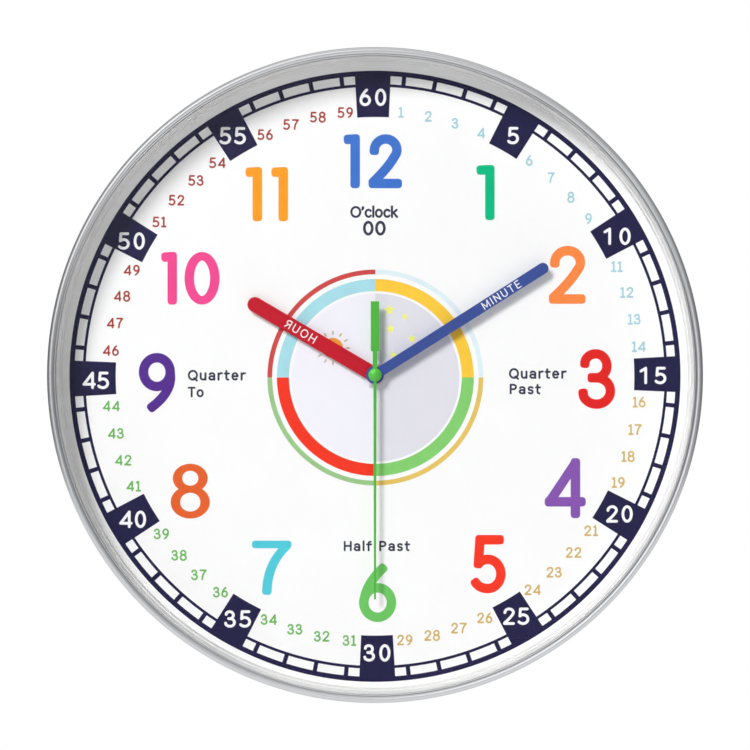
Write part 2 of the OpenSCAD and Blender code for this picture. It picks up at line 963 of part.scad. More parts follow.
module third_wheel() {
  color("white")
    place()
      wheel_on_arbor(at_third, n_third, m_sec, turn_third, n_third_p, m_third, z_third);
}

module centre_wheel() {
  color("white")
    place()
      at_level(z_centre, wheel_t)
        difference() {
          gear(n_centre, m_third, turn_centre);
          circle(min_r + press);
        }
}

module centre_arbor() {
  color("khaki")
    place()
      difference() {
        union() {
          rod([0, 0], min_r, z_centre - 0.4, minute_top);
          at_level(z_centre + wheel_t, leaf_l)
            gear(n_cannon, m_motion, 0);
        }
        rod([0, 0], sec_bore, zr, minute_top + 1);
      }
}

module clutch_spring() {
  color("silver")
    place()
      at_level(z_centre - 0.3, 0.3)
        ring(3.2, min_r + press);
}

module motion_wheel() {
  color("white")
    place()
      wheel_on_arbor(at_motion, n_motion, m_motion, turn_motion, n_motion_p, m_hour, z_motion);
}

module hour_wheel() {
  color("white")
    place()
      difference() {
        union() {
          at_level(z_hour, wheel_t)
            gear(n_hour, m_hour, turn_hour);
          rod([0, 0], hour_r, z_hour, hour_top);
        }
        rod([0, 0], min_bore, z_hour - 1, hour_top + 1);
      }
}

module setting_shaft() {
  color("white")
    place() {
      translate([at_set[0], at_set[1], 0])
        at_level(z_motion - 0.2, wheel_t + 0.4)
          gear(n_set, m_motion, turn_set);
      rod(at_set, shaft_r, knob_clear + knob_floor, z_motion);
      rod(at_set, pivot_r, z_motion, zf + pivot_l);
      rod(at_set, shaft_r + 0.7, zr + 0.15, z_motion - 0.1);
    }
}

module setting_knob() {
  color("dimgray")
    place()
      translate([at_set[0], at_set[1], knob_clear])
        difference() {
          cylinder(r = knob_r, h = knob_h);
          translate([0, 0, knob_floor])
            cylinder(r = shaft_r + press, h = knob_h);
          for (i = [0:grip_n - 1])
            rotate(360 / grip_n * i)
              translate([knob_r + grip_r * 0.4, 0, -1])
                cylinder(r = grip_r, h = knob_h + 2, $fn = 24);
        }
}

// hands

module clock_turn(a) {
  rotate(90 - a)
    children();
}

module hour_hand() {
  color("crimson")
    place()
      difference() {
        union() {
          at_level(hour_z, hand_t)
            clock_turn(hour_angle) {
              translate([0, -hour_w / 2])
                square([hour_l - hour_w / 2, hour_w]);
              translate([hour_l - hour_w / 2, 0])
                circle(hour_w / 2);
            }
          rod([0, 0], hour_hub_r, hour_hub_z, hour_top);
        }
        rod([0, 0], hour_r + press, hour_hub_z - 1, hour_top + 1);
      }
}

module minute_hand() {
  tip_x = minute_l - minute_tip_w / 2;
  color("royalblue")
    place()
      difference() {
        union() {
          at_level(minute_z, hand_t)
            clock_turn(minute_angle) {
              polygon([[0, -minute_w / 2], [tip_x, -minute_tip_w / 2],
                [tip_x, minute_tip_w / 2], [0, minute_w / 2]]);
              translate([tip_x, 0])
                circle(minute_tip_w / 2);
            }
          rod([0, 0], minute_hub_r, minute_hub_z, minute_top);
        }
        rod([0, 0], min_r + press, minute_hub_z - 1, minute_top + 1);
      }
}

module second_hand() {
  bar_x = tail_l - tail_bar_l;
  color("limegreen")
    place()
      difference() {
        union() {
          at_level(second_z, second_t)
            clock_turn(second_angle) {
              polygon([[0, -needle_w / 2], [second_l, -needle_tip_w / 2],
                [second_l, needle_tip_w / 2], [0, needle_w / 2]]);
              translate([-bar_x - 1, -tail_neck_w / 2])
                square([bar_x + 1, tail_neck_w]);
              translate([-tail_l, -tail_bar_w / 2])
                square([tail_bar_l, tail_bar_w]);
            }
          rod([0, 0], second_hub_r, second_hub_z, second_top);
        }
        rod([0, 0], sec_r + press, second_hub_z - 1, second_top + 1);
      }
}

module second_hand_dome() {
  ball_r = (dome_r * dome_r + dome_h * dome_h) / (2 * dome_h);
  color("limegreen")
    place()
      translate([0, 0, second_top])
        intersection() {
          translate([0, 0, dome_h - ball_r])
            sphere(ball_r);
          cylinder(r = 2 * dome_r, h = 2 * dome_h);
        }
}

bezel_ring();
lens();
spacer_ring();
dial();
back_cover();
frame_screws();
hanger_plate();
hanger_screws();
rubber_washer();
threaded_bush();
dial_washer();
fixing_nut();
movement_front_shell();
movement_rear_shell();
battery();
battery_nub();
positive_contact();
negative_contact();
stator();
coil_core();
coil_bobbin();
coil_winding();
circuit_board();
timing_chip();
quartz_crystal();
rotor_pinion();
rotor_magnet();
intermediate_wheel();
seconds_wheel();
seconds_arbor();
second_hand();
second_hand_dome();
third_wheel();
centre_wheel();
centre_arbor();
clutch_spring();
minute_hand();
motion_wheel();
hour_wheel();
hour_hand();
setting_shaft();
setting_knob();
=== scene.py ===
# %% [markdown]
# # Teaching wall clock
# The clock is a silver ring that holds a clear lens, a printed dial and a quartz movement.
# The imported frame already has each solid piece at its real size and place. This lesson adds
# what a solid can't show: finishes, printed ink, lettering on the hands and wound wire.

import json

import bpy
import numpy as np
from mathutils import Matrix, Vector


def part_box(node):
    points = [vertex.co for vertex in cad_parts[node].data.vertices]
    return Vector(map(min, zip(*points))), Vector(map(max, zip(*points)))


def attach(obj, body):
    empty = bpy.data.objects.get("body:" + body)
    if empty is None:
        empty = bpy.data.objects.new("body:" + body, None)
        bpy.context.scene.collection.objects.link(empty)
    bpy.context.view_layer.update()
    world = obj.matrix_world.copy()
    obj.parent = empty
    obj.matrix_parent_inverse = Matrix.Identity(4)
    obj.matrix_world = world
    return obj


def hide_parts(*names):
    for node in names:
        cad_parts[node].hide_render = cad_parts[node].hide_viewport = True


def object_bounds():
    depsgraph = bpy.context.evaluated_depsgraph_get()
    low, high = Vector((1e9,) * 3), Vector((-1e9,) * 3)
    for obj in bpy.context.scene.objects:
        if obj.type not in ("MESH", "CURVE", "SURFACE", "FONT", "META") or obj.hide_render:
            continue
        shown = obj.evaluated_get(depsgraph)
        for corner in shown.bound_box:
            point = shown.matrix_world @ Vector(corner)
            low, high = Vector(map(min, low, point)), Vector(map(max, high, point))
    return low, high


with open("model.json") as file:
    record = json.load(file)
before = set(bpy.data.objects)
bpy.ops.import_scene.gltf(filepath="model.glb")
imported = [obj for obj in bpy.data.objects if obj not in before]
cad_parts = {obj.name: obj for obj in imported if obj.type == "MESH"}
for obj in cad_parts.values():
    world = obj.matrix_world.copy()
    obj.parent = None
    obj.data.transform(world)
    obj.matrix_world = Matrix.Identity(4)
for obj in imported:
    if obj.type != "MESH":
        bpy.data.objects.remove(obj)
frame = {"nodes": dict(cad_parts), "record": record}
nodes = frame["nodes"]
cad_box = [list(corner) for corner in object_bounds()]
MM = 0.001
print("nodes:", len(nodes), "box in mm:", np.round(np.array(cad_box) / MM, 1).tolist())

# %% [markdown]
# ## Camera
# The photograph looks square at the dial, from more than a metre away, so the bezel hides a
# little of the inner wall. The focal length follows from the width of the frame in the picture,
# because picture scale is focal length over distance.

# %% Camera
PICTURE_W = 750
SENSOR_W = 36.0
STAND_OFF = 1.381
PIXELS_PER_METRE = 2187.0
ROLL_DEPTH = 1.4 * MM

widest = cad_box[0][1] + ROLL_DEPTH
scene = bpy.context.scene
lens_view = bpy.data.cameras.new("camera")
lens_view.sensor_width = SENSOR_W
lens_view.lens = SENSOR_W * PIXELS_PER_METRE * STAND_OFF / PICTURE_W
camera = bpy.data.objects.new("camera", lens_view)
camera.location = (0, widest - STAND_OFF, 0)
camera.rotation_euler = (np.pi / 2, 0, 0)
scene.collection.objects.link(camera)
scene.camera = camera
scene.view_settings.view_transform = "Standard"
print("focal length:", round(lens_view.lens, 1), "mm")

# %% [markdown]
# ## Building node trees
# A finish is a small tree of shader nodes. One helper adds a node, sets its plain values
# and links the sockets it is given, so that the finishes below read like recipes.

# %% Node helpers
WHITE = (1, 1, 1, 1)
MID_LOW, MID_HIGH = 0.3, 0.7


def plug(tree, node, sockets):
    """Sets the plain values among a node's inputs and links the others."""
    for name, value in sockets.items():
        if isinstance(value, bpy.types.NodeSocket):
            tree.links.new(value, node.inputs[name])
        else:
            node.inputs[name].default_value = value


def add(tree, kind, sockets=None, **settings):
    """Adds a shader node, sets its settings, and sets or links its input sockets."""
    made = tree.nodes.new("ShaderNode" + kind)
    for name, value in settings.items():
        setattr(made, name, value)
    plug(tree, made, sockets or {})
    return made


def calc(tree, operation, *values):
    """Result of one sum on numbers or sockets."""
    return add(tree, "Math", dict(enumerate(values)), operation=operation).outputs["Value"]


def vector(tree, operation, *values):
    """Results of one sum on vectors."""
    return add(tree, "VectorMath", dict(enumerate(values)), operation=operation).outputs


def rgb(code, gain=1.0):
    """Linear colour of a hex code: the screen curve undone, times a gain, held below one."""
    screen = np.array([int(code[k:k + 2], 16) for k in (1, 3, 5)]) / 255
    linear = np.where(screen <= 0.04045, screen / 12.92, ((screen + 0.055) / 1.055) ** 2.4)
    return (*np.clip(linear * gain, 0, 1).tolist(), 1.0)


def between(tree, share, dark, light):
    """A colour that runs from dark to light over the middle of a share."""
    ramp = add(tree, "ValToRGB", {"Fac": share})
    low, high = ramp.color_ramp.elements
    low.position, high.position = MID_LOW, MID_HIGH
    low.color, high.color = dark, light
    return ramp.outputs["Color"]


def spread(tree, share, low, high):
    """A number that runs from low to high over the middle of a share."""
    sockets = {"Value": share, "From Min": MID_LOW, "From Max": MID_HIGH, "To Min": low, "To Max": high}
    return add(tree, "MapRange", sockets).outputs["Result"]


print("mid grey is", np.round(rgb("#808080")[0], 3))

# %% [markdown]
# ## Light, background and floor
# Product pictures use one soft lamp at the upper left and a bright room. The lamp throws the
# shadows of the bezel and the hands on the dial, and the room fills them. A weaker lamp behind
# lights the back. The room looks white to the camera, but lights the clock at a plain level.
# Mirrors, and light mirrored inside the lens, see it brightest above and below, and darker at
# the sides, behind the camera and behind the clock, with a glow where the lamp's cloth hangs.

# %% Room
ROOM_LEVEL = 0.28
MIRROR_LEVELS = {0.0: 0.50, 0.40: 0.95, 0.62: 0.95, 0.95: 0.30}
SIDE_LOSS = 0.8
SIDE_POWER = 1.5
GLOW_WAY = np.array([-0.30, -0.90, 0.32])
GLOW_FROM, GLOW_FULL = 0.90, 0.99
GLOW_LEVEL = 1.5
NO_BOUNCE = 0.5

room = bpy.data.worlds.new("room")
room.use_nodes = True
scene.world = room
tree = room.node_tree
tree.nodes.clear()
ray = add(tree, "LightPath").outputs
direction = add(tree, "TexCoord").outputs["Generated"]
axes = add(tree, "SeparateXYZ", {"Vector": direction}).outputs
sockets = {"Value": axes["Y"], "From Min": -1.0, "From Max": 1.0}
ramp = add(tree, "ValToRGB", {"Fac": add(tree, "MapRange", sockets).outputs["Result"]})
stops = ramp.color_ramp.elements
while len(stops) < len(MIRROR_LEVELS):
    stops.new(0.5)
for stop, (place, level) in zip(stops, MIRROR_LEVELS.items()):
    stop.position = place
    stop.color = (level, level, level, 1)
aside = calc(tree, "POWER", calc(tree, "ABSOLUTE", axes["X"]), SIDE_POWER)
kept = calc(tree, "MULTIPLY_ADD", aside, -SIDE_LOSS, 1.0)
toward = tuple(GLOW_WAY / np.linalg.norm(GLOW_WAY))
near = vector(tree, "DOT_PRODUCT", direction, toward)["Value"]
sockets = {"Value": near, "From Min": GLOW_FROM, "From Max": GLOW_FULL, "To Max": GLOW_LEVEL}
glow = add(tree, "MapRange", sockets, interpolation_type="SMOOTHSTEP").outputs["Result"]
level = calc(tree, "MULTIPLY_ADD", ramp.outputs["Color"], kept, glow)
bounces = calc(tree, "ADD", ray["Diffuse Depth"], ray["Glossy Depth"])
direct = calc(tree, "LESS_THAN", bounces, NO_BOUNCE)
through = calc(tree, "MAXIMUM", ray["Is Camera Ray"], ray["Is Transmission Ray"])
seen = calc(tree, "MULTIPLY", through, direct)
bounced = calc(tree, "MAXIMUM", ray["Is Glossy Ray"], ray["Is Transmission Ray"])
fill, mirror, white = [
    add(tree, "Background", {"Color": WHITE, "Strength": strength}).outputs[0]
    for strength in (ROOM_LEVEL, level, 1.0)
]
lit = add(tree, "MixShader", {0: bounced, 1: fill, 2: mirror}).outputs[0]
shown = add(tree, "MixShader", {0: seen, 1: lit, 2: white}).outputs[0]
add(tree, "OutputWorld", {"Surface": shown})
print("room level:", ROOM_LEVEL)

# %% Lamps
LAMP_SIZE = 2.0
LAMP_DISTANCE = 6.0
LAMPS = {"front_lamp": (284.0, (-0.57, -1.0, 0.73)), "back_lamp": (160.0, (0.8, 1.0, 1.0))}

for name, (watts, way) in LAMPS.items():
    lamp_data = bpy.data.lights.new(name, "AREA")
    lamp_data.shape = "DISK"
    lamp_data.size = LAMP_SIZE
    lamp_data.energy = watts
    lamp = bpy.data.objects.new(name, lamp_data)
    lamp.location = np.array(way) / np.linalg.norm(way) * LAMP_DISTANCE
    lamp.rotation_mode = "QUATERNION"
    lamp.rotation_quaternion = lamp.location.to_track_quat("Z", "Y")
    lamp.visible_glossy = False
    scene.collection.objects.link(lamp)
    print(name, "at", np.round(lamp.location, 2).tolist())

# %% Floor
FLOOR_DROP = 0.25
FLOOR_HALF = 1.2
FLOOR_WHITE = 0.93
FLOOR_GREY = (0.85, 0.85, 0.85, 1)

floor_z = cad_box[0][2] - FLOOR_DROP
corners = np.array([[-1, -1, 0], [1, -1, 0], [1, 1, 0], [-1, 1, 0]]) * FLOOR_HALF
floor_mesh = bpy.data.meshes.new("floor")
floor_mesh.from_pydata((corners + [0, 0, floor_z]).tolist(), [], [(0, 1, 2, 3)])
floor = bpy.data.objects.new("floor", floor_mesh)
scene.collection.objects.link(floor)
paper = bpy.data.materials.new("floor_paper")
paper.use_nodes = True
tree = paper.node_tree
tree.nodes.clear()
ray = add(tree, "LightPath").outputs
seen = calc(tree, "MAXIMUM", ray["Is Camera Ray"], ray["Is Glossy Ray"])
seen = calc(tree, "MAXIMUM", seen, ray["Is Transmission Ray"])
share = calc(tree, "MULTIPLY", seen, FLOOR_WHITE)
matt = add(tree, "BsdfDiffuse", {"Color": FLOOR_GREY}).outputs[0]
glow = add(tree, "Emission", {"Color": WHITE, "Strength": 1.0}).outputs[0]
mixed = add(tree, "MixShader", {0: share, 1: matt, 2: glow}).outputs[0]
add(tree, "OutputMaterial", {"Surface": mixed})
floor_mesh.materials.append(paper)
print("floor at z", round(floor_z, 3))

# %% [markdown]
# ## Plain finishes
# Plastic, paint and plated metal all vary a little: colour drifts over centimetres, gloss
# over millimetres, and the mould or the roller leaves a fine grain. One function makes such
# a surface from Noise on Object coordinates, whose scale is one over the size of a spot.

# %% Plain finish
PATCH_DETAIL, FINE_DETAIL = 4.0, 3.0


def surface(name):
    """A new material with its node tree and its main shader."""
    made = bpy.data.materials.new(name)
    made.use_nodes = True
    return made, made.node_tree, made.node_tree.nodes["Principled BSDF"]


def object_place(tree):
    """Coordinates that ride with the object."""
    return add(tree, "TexCoord").outputs["Object"]


def speckle(tree, size, detail=PATCH_DETAIL, stretch=None):
    """Noise whose spots are about size millimetres across, drawn out where stretch is small."""
    spot = object_place(tree)
    if stretch:
        spot = add(tree, "Mapping", {"Vector": spot, "Scale": stretch}).outputs["Vector"]
    sockets = {"Vector": spot, "Scale": 1 / (size * MM), "Detail": detail}
    return add(tree, "TexNoise", sockets).outputs["Fac"]


def relief(tree, shader, height, depth):
    """Bump of a height pattern, with its depth in millimetres."""
    bump = add(tree, "Bump", {"Height": height, "Distance": depth * MM, "Strength": 1.0})
    plug(tree, shader, {"Normal": bump.outputs["Normal"]})


def coat(tree, shader, dark, light, shade, rough, sheen, metal=0.0):
    """Colour from dark to light over one pattern, and gloss over another."""
    colour = between(tree, shade, dark, light)
    gloss = spread(tree, sheen, *rough)
    plug(tree, shader, {"Base Color": colour, "Roughness": gloss, "Metallic": metal})


def plain(name, code, drift=0.04, rough=(0.4, 0.5), patch=14.0, grain=0.4, depth=0.01,
          metal=0.0, stretch=None, shine=0.5):
    """Colour that drifts by a share over patches, gloss and bump that follow a fine grain."""
    made, tree, shader = surface(name)
    fine = speckle(tree, grain, FINE_DETAIL, stretch)
    shades = rgb(code, 1 - drift), rgb(code, 1 + drift)
    coat(tree, shader, *shades, speckle(tree, patch), rough, fine, metal)
    plug(tree, shader, {"Specular IOR Level": shine})
    relief(tree, shader, fine, depth)
    return made


finish = {
    "white_plastic": plain("spacer_white", "#EBEBEA", 0.015, (0.38, 0.48), grain=0.5),
    "cover_plastic": plain("cover_white", "#E9E9E6", 0.03, (0.45, 0.6), grain=0.35, depth=0.03),
    "rubber": plain("washer_rubber", "#2A2A2B", 0.12, (0.7, 0.85), grain=0.25, depth=0.02),
    "black_plastic": plain("case_black", "#26272A", 0.12, (0.42, 0.6), grain=0.3, depth=0.03),
    "natural_plastic": plain("wheel_acetal", "#EFEBDD", 0.04, (0.35, 0.45), patch=4.0),
    "knob_plastic": plain("knob_grey", "#6A6B6E", 0.08, (0.35, 0.5), patch=5.0, grain=0.3),
    "green_plastic": plain("dome_green", "#4FBA3C", 0.05, (0.34, 0.42), patch=3.0, depth=0.002),
    "magnet": plain("magnet_grey", "#55565A", 0.15, (0.45, 0.6), patch=1.5, grain=0.15, metal=0.6),
    "brass": plain("spindle_brass", "#D9B25F", 0.08, (0.22, 0.34), patch=3.0, grain=0.2, metal=1.0),
    "contact_brass": plain("spring_brass", "#D8BE7C", 0.08, (0.2, 0.32), patch=3.0, metal=1.0),
    "white_lacquer": plain("nut_white", "#E6E6EE", 0.02, (0.5, 0.6), patch=3.0, grain=0.3, shine=0.15),
    "screw_steel": plain("screw_zinc", "#C4C6C9", 0.10, (0.25, 0.4), patch=1.5, grain=0.2, metal=1.0),
}
print("plain finishes:", len(finish))

# %% [markdown]
# ## Painted hands
# The hands are stamped from thin sheet and sprayed. Spray paint is even, with a slight orange
# peel that softens its shine, so its bump is wider than that of moulded plastic.

# %% Hand paint
PEEL = dict(drift=0.05, rough=(0.40, 0.50), patch=9.0, grain=0.9, depth=0.006, shine=0.12)

finish["red_hand"] = plain("hour_red", "#C01428", **PEEL)
finish["blue_hand"] = plain("minute_blue", "#394E94", **PEEL)
finish["green_hand"] = plain("second_green", "#4FB13F", **PEEL)
print("hand paints: red, blue, green")

# %% [markdown]
# ## Spun silver ring
# The ring is spun metal, so its polish runs round it. A 4-D noise gives lines without a seam:
# two of its coordinates are the direction from the spindle, slow, and the other two are the
# radius and the depth, fast. Colour and gloss follow the lines.

# %% Spun metal
TURN_SPEED = 2.6
LINE_PITCH = 0.9
LINE_DETAIL = 5.0
LINE_DEPTH = 0.004
EDGE_TINT = (0.45, 0.45, 0.46, 1)


def spun(name, code, drift, rough):
    """Noise over direction (slow) and over radius and depth (one line per pitch)."""
    made, tree, shader = surface(name)
    place = object_place(tree)
    flat = vector(tree, "MULTIPLY", place, (1, 0, 1))[0]
    radius = vector(tree, "LENGTH", flat)["Value"]
    outward = vector(tree, "NORMALIZE", flat)[0]
    slow = vector(tree, "MULTIPLY", outward, [TURN_SPEED] * 3)[0]
    lines = 1 / (LINE_PITCH * MM)
    fast = calc(tree, "MULTIPLY", radius, lines)
    rise = add(tree, "CombineXYZ", {"Y": fast}).outputs[0]
    spot = vector(tree, "ADD", slow, rise)[0]
    level = add(tree, "SeparateXYZ", {"Vector": place}).outputs["Y"]
    deep = calc(tree, "MULTIPLY", level, lines)
    sockets = {"Vector": spot, "W": deep, "Scale": 1.0, "Detail": LINE_DETAIL}
    streak = add(tree, "TexNoise", sockets, noise_dimensions="4D").outputs["Fac"]
    coat(tree, shader, rgb(code, 1 - drift), rgb(code, 1 + drift), streak, rough, streak, 1.0)
    plug(tree, shader, {"Specular Tint": EDGE_TINT})
    relief(tree, shader, streak, LINE_DEPTH)
    return made


finish["silver_frame"] = spun("ring_silver", "#D9DADC", 0.06, (0.27, 0.38))
print("ring finish:", finish["silver_frame"].name)

# %% [markdown]
# ## Clear lens
# The lens is a flat sheet. Glass that bends light would stop the lamp's rays, so for rays that
# ask how a surface is lit it is simply transparent, and for all others it is glass with a shine.
# Its coat against glare halves the reflection, and a lower index does the same.

# %% Lens
LENS_IOR = 1.2
LENS_TINT = (0.992, 0.992, 0.993, 1)
HAZE_PATCH = 30.0
HAZE = 0.03

made, tree, shader = surface("lens_clear")
plug(tree, shader, {"Base Color": LENS_TINT, "Transmission Weight": 1.0, "IOR": LENS_IOR})
plug(tree, shader, {"Roughness": spread(tree, speckle(tree, HAZE_PATCH), 0.0, HAZE)})
ray = add(tree, "LightPath").outputs
to_lamp = calc(tree, "MAXIMUM", ray["Is Shadow Ray"], ray["Is Diffuse Ray"])
free = add(tree, "BsdfTransparent").outputs[0]
glass = add(tree, "MixShader", {0: to_lamp, 1: shader.outputs[0], 2: free}).outputs[0]
plug(tree, tree.nodes["Material Output"], {"Surface": glass})
finish["clear_lens"] = made
print("lens index:", LENS_IOR)

# %% [markdown]
# ## Card, plate, cell and strips
# The dial is coated card with short fibres under the coat. The hanger is zinc-plated steel
# with crystal flowers, which are the cells of a Voronoi pattern. The cell has a dark jacket
# with one copper band, drawn by its place along the cell.

# %% Card and plate
FIBRES = (1, 1, 0.35)
FLOWER_DARK, FLOWER_LIGHT = 0.85, 1.12
PLATE_GRAIN = 0.3
PLATE_DEPTH = 0.006

finish["dial_card"] = plain(
    "dial_card", "#FBFBFB", 0.01, (0.55, 0.68), patch=25.0, grain=0.25, depth=0.004, stretch=FIBRES,
)


def flowered(name, code, size, rough):
    """Zinc flowers: each Voronoi cell has its own grey and its own gloss."""
    made, tree, shader = surface(name)
    place = object_place(tree)
    cell = add(tree, "TexVoronoi", {"Vector": place, "Scale": 1 / (size * MM)}).outputs["Color"]
    shade = add(tree, "SeparateColor", {"Color": cell}).outputs["Red"]
    coat(tree, shader, rgb(code, FLOWER_DARK), rgb(code, FLOWER_LIGHT), shade, rough, shade, 1.0)
    relief(tree, shader, speckle(tree, PLATE_GRAIN), PLATE_DEPTH)
    return made


finish["plate_steel"] = flowered("plate_zinc", "#BCBEC1", 2.2, (0.28, 0.45))
finish["lamination"] = flowered("stator_steel", "#8E9094", 0.8, (0.3, 0.45))
finish["contact_strip"] = flowered("strip_nickel", "#CFC9B4", 1.2, (0.2, 0.32))
print("card and plates ready")

# %% Cell jacket
BAND_SHARE = 0.24
JACKET, COPPER = ("#27304A", 0.9, 1.15), ("#B9743C", 0.92, 1.1)
JACKET_PATCH, JACKET_GRAIN = 5.0, 0.8
JACKET_ROUGH = (0.25, 0.36)
JACKET_METAL = 0.55
COLOUR_A, COLOUR_B, MIXED_COLOUR = 6, 7, 2

low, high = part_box("battery")
band_x = high.x - (high.x - low.x) * BAND_SHARE
made, tree, shader = surface("cell_jacket")
along = add(tree, "SeparateXYZ", {"Vector": object_place(tree)}).outputs["X"]
past = calc(tree, "GREATER_THAN", along, band_x)
wear = speckle(tree, JACKET_PATCH)
jacket, copper = [
    between(tree, wear, rgb(code, dark), rgb(code, light)) for code, dark, light in (JACKET, COPPER)
]
mix = add(tree, "Mix", {"Factor": past, COLOUR_A: jacket, COLOUR_B: copper}, data_type="RGBA")
gloss = spread(tree, speckle(tree, JACKET_GRAIN), *JACKET_ROUGH)
plug(tree, shader, {"Base Color": mix.outputs[MIXED_COLOUR], "Roughness": gloss, "Metallic": JACKET_METAL})
finish["cell_jacket"] = made
print("copper band from x", round(band_x / MM, 1), "mm")

# %% [markdown]
# ## Board and wire
# The board is green lacquer over copper tracks: bands of a Wave pattern, bent by noise, make
# the tracks. The wire is lacquered copper, darker in the hollows between its turns.

# %% Board and wire
TRACKS_PER_METRE = 260.0
TRACK_BEND = 3.0
TRACK_ROUGH = (0.42, 0.28)
TRACK_DEPTH = 0.02

made, tree, shader = surface("board_green")
sockets = {"Vector": object_place(tree), "Scale": TRACKS_PER_METRE, "Distortion": TRACK_BEND}
sockets["Detail"] = 1.0
track = add(tree, "TexWave", sockets, wave_type="BANDS", bands_direction="DIAGONAL").outputs["Fac"]
coat(tree, shader, rgb("#14552C"), rgb("#2E7A40"), track, TRACK_ROUGH, track)
relief(tree, shader, track, TRACK_DEPTH)
finish["board"] = made
finish["copper_wire"] = plain("wire_copper", "#B4632E", 0.16, (0.2, 0.32), 1.2, 0.2, metal=1.0)
print("finishes:", len(finish))

# %% Dress the nodes
for part in frame["record"]["subparts"]:
    coats = nodes[part["node"]].data.materials
    coats.clear()
    coats.append(finish[part["material_slot"]])

# %% [markdown]
# ## A pen for the print
# All print is drawn with one pen: a flat ribbon of ink along a path, half its width to both
# sides. At round ends the width follows a sine while the path runs on by a cosine, which draws
# half a circle. With a smaller cap only the corners are round. Real ink is a film, so the
# ribbon is a closed solid a twentieth of a millimetre high, let a little into the card.

# %% Pen
INK_SINK = 0.01
INK_RISE = 0.05
CAP_ANGLES = np.radians([8.0, 32.0, 58.0, 84.0])
ARC_STEP = 9.0
RING_STEP = 1.5
BOW_STEPS = 12
LEAST_MOVE = 1e-4
SWAPPED = [1, 0, 3, 2]
dial_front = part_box("dial")[0].y


def heading(degrees):
    """Cosine and sine of an angle from the right, turning left."""
    t = np.radians(degrees)
    return np.stack([np.cos(t), np.sin(t)], axis=-1)


def arc(cx, cy, rx, ry, start=90, end=450, step=ARC_STEP):
    """Ellipse points: the centre plus the radii times cosine and sine, from start to end."""
    steps = int(abs(end - start) / step) + 3
    return [cx, cy] + [rx, ry] * heading(np.linspace(start, end, steps))


def line(*numbers):
    """The points x, y, x, y of a straight pen move."""
    return np.array(numbers, float).reshape(-1, 2)


def bow(*numbers):
    """Quadratic curve of three points: the middle one pulls the pen aside."""
    a, b, c = line(*numbers)
    t = np.linspace(0, 1, BOW_STEPS)[:, None]
    return (1 - t) ** 2 * a + 2 * t * (1 - t) * b + t ** 2 * c


def join(*runs):
    """One path of several runs, without points that repeat."""
    path = np.concatenate(runs)
    moved = np.linalg.norm(np.diff(path, axis=0), axis=1) > LEAST_MOVE
    return path[np.concatenate([[True], moved])]


def meets(rows):
    """True if the last row of a path or a grid is its first again."""
    return len(rows) > 2 and np.allclose(rows[0], rows[-1])


def film(left, right, lift):
    """Sections of ink between two edges: above the card, and the same below its face."""
    flat = np.stack([left, right, right, left], axis=1)
    level = np.array([INK_RISE, INK_RISE, -INK_SINK, -INK_SINK])[:, None] + lift
    return np.concatenate([flat, np.broadcast_to(level, (len(flat), 4, 1))], axis=2)


def ribbon(path, half, cap=1.0, lift=0.0, thin=0.0):
    """Sections of ink along a path: left, right, and the same below, in millimetres. Ends with
    a cap run on by half the width, with corners whose radius is the cap's share of it. Level
    runs are narrower by the thin share."""
    step = np.gradient(path, axis=0)
    if meets(path):
        step[0] = step[-1] = path[1] - path[-2]
    ahead = step / np.linalg.norm(step, axis=1, keepdims=True)
    width = half * (1 - thin * ahead[:, 0] ** 2)
    if cap and not meets(path):
        run_on = half * (1 - cap + cap * np.cos(CAP_ANGLES)[:, None])
        lean = 1 - cap + cap * np.sin(CAP_ANGLES)
        path = np.concatenate([path[0] - run_on * ahead[0], path, path[-1] + run_on[::-1] * ahead[-1]])
        width = np.concatenate([lean * width[0], width, lean[::-1] * width[-1]])
        ahead = np.concatenate([[ahead[0]] * len(lean), ahead, [ahead[-1]] * len(lean)])
    aside = np.stack([-ahead[:, 1], ahead[:, 0]], axis=1) * width[:, None]
    return film(path + aside, path - aside, lift)


def on_dial(grid, front=dial_front):
    """Millimetres across, up and out of a face become metres in the frame of the clock."""
    return np.stack([grid[..., 0] * MM, front - grid[..., 2] * MM, grid[..., 1] * MM], axis=-1)


print("dial front at", round(dial_front / MM, 2), "mm")

# %% [markdown]
# ## From sections to a mesh
# Each grid of sections becomes quads between neighbours. A path that goes round is closed on
# itself, and one with two ends gets a face at each. Quads without any area, such as those on
# the axis of a turned piece, are left out, and points that meet are merged, which closes stars
# and discs.

# %% Mesh maker
MERGE_DISTANCE = 1e-6
LEAST_AREA = 1e-14
INK_SHINE = 0.08


def skin(grid):
    """Quads between sections i and i + 1 and between points j and j + 1, and two end faces."""
    rows, cols = grid.shape[:2]
    i = np.arange(rows - 1)[:, None]
    j = np.arange(cols)[None]
    after, beside = i + 1, (j + 1) % cols
    ring = [i * cols + j, i * cols + beside, after * cols + beside, after * cols + j]
    quads = np.stack(np.broadcast_arrays(*ring), axis=-1).reshape(-1, 4)
    if meets(grid):
        return quads
    ends = np.array([[3, 2, 1, 0], [0, 1, 2, 3]]) + [[0], [(rows - 1) * cols]]
    return np.concatenate([quads, ends])


def apply(made, modifier):
    """Makes a modifier part of the mesh."""
    with bpy.context.temp_override(object=made, active_object=made, selected_objects=[made]):
        bpy.ops.object.modifier_apply(modifier=modifier.name)


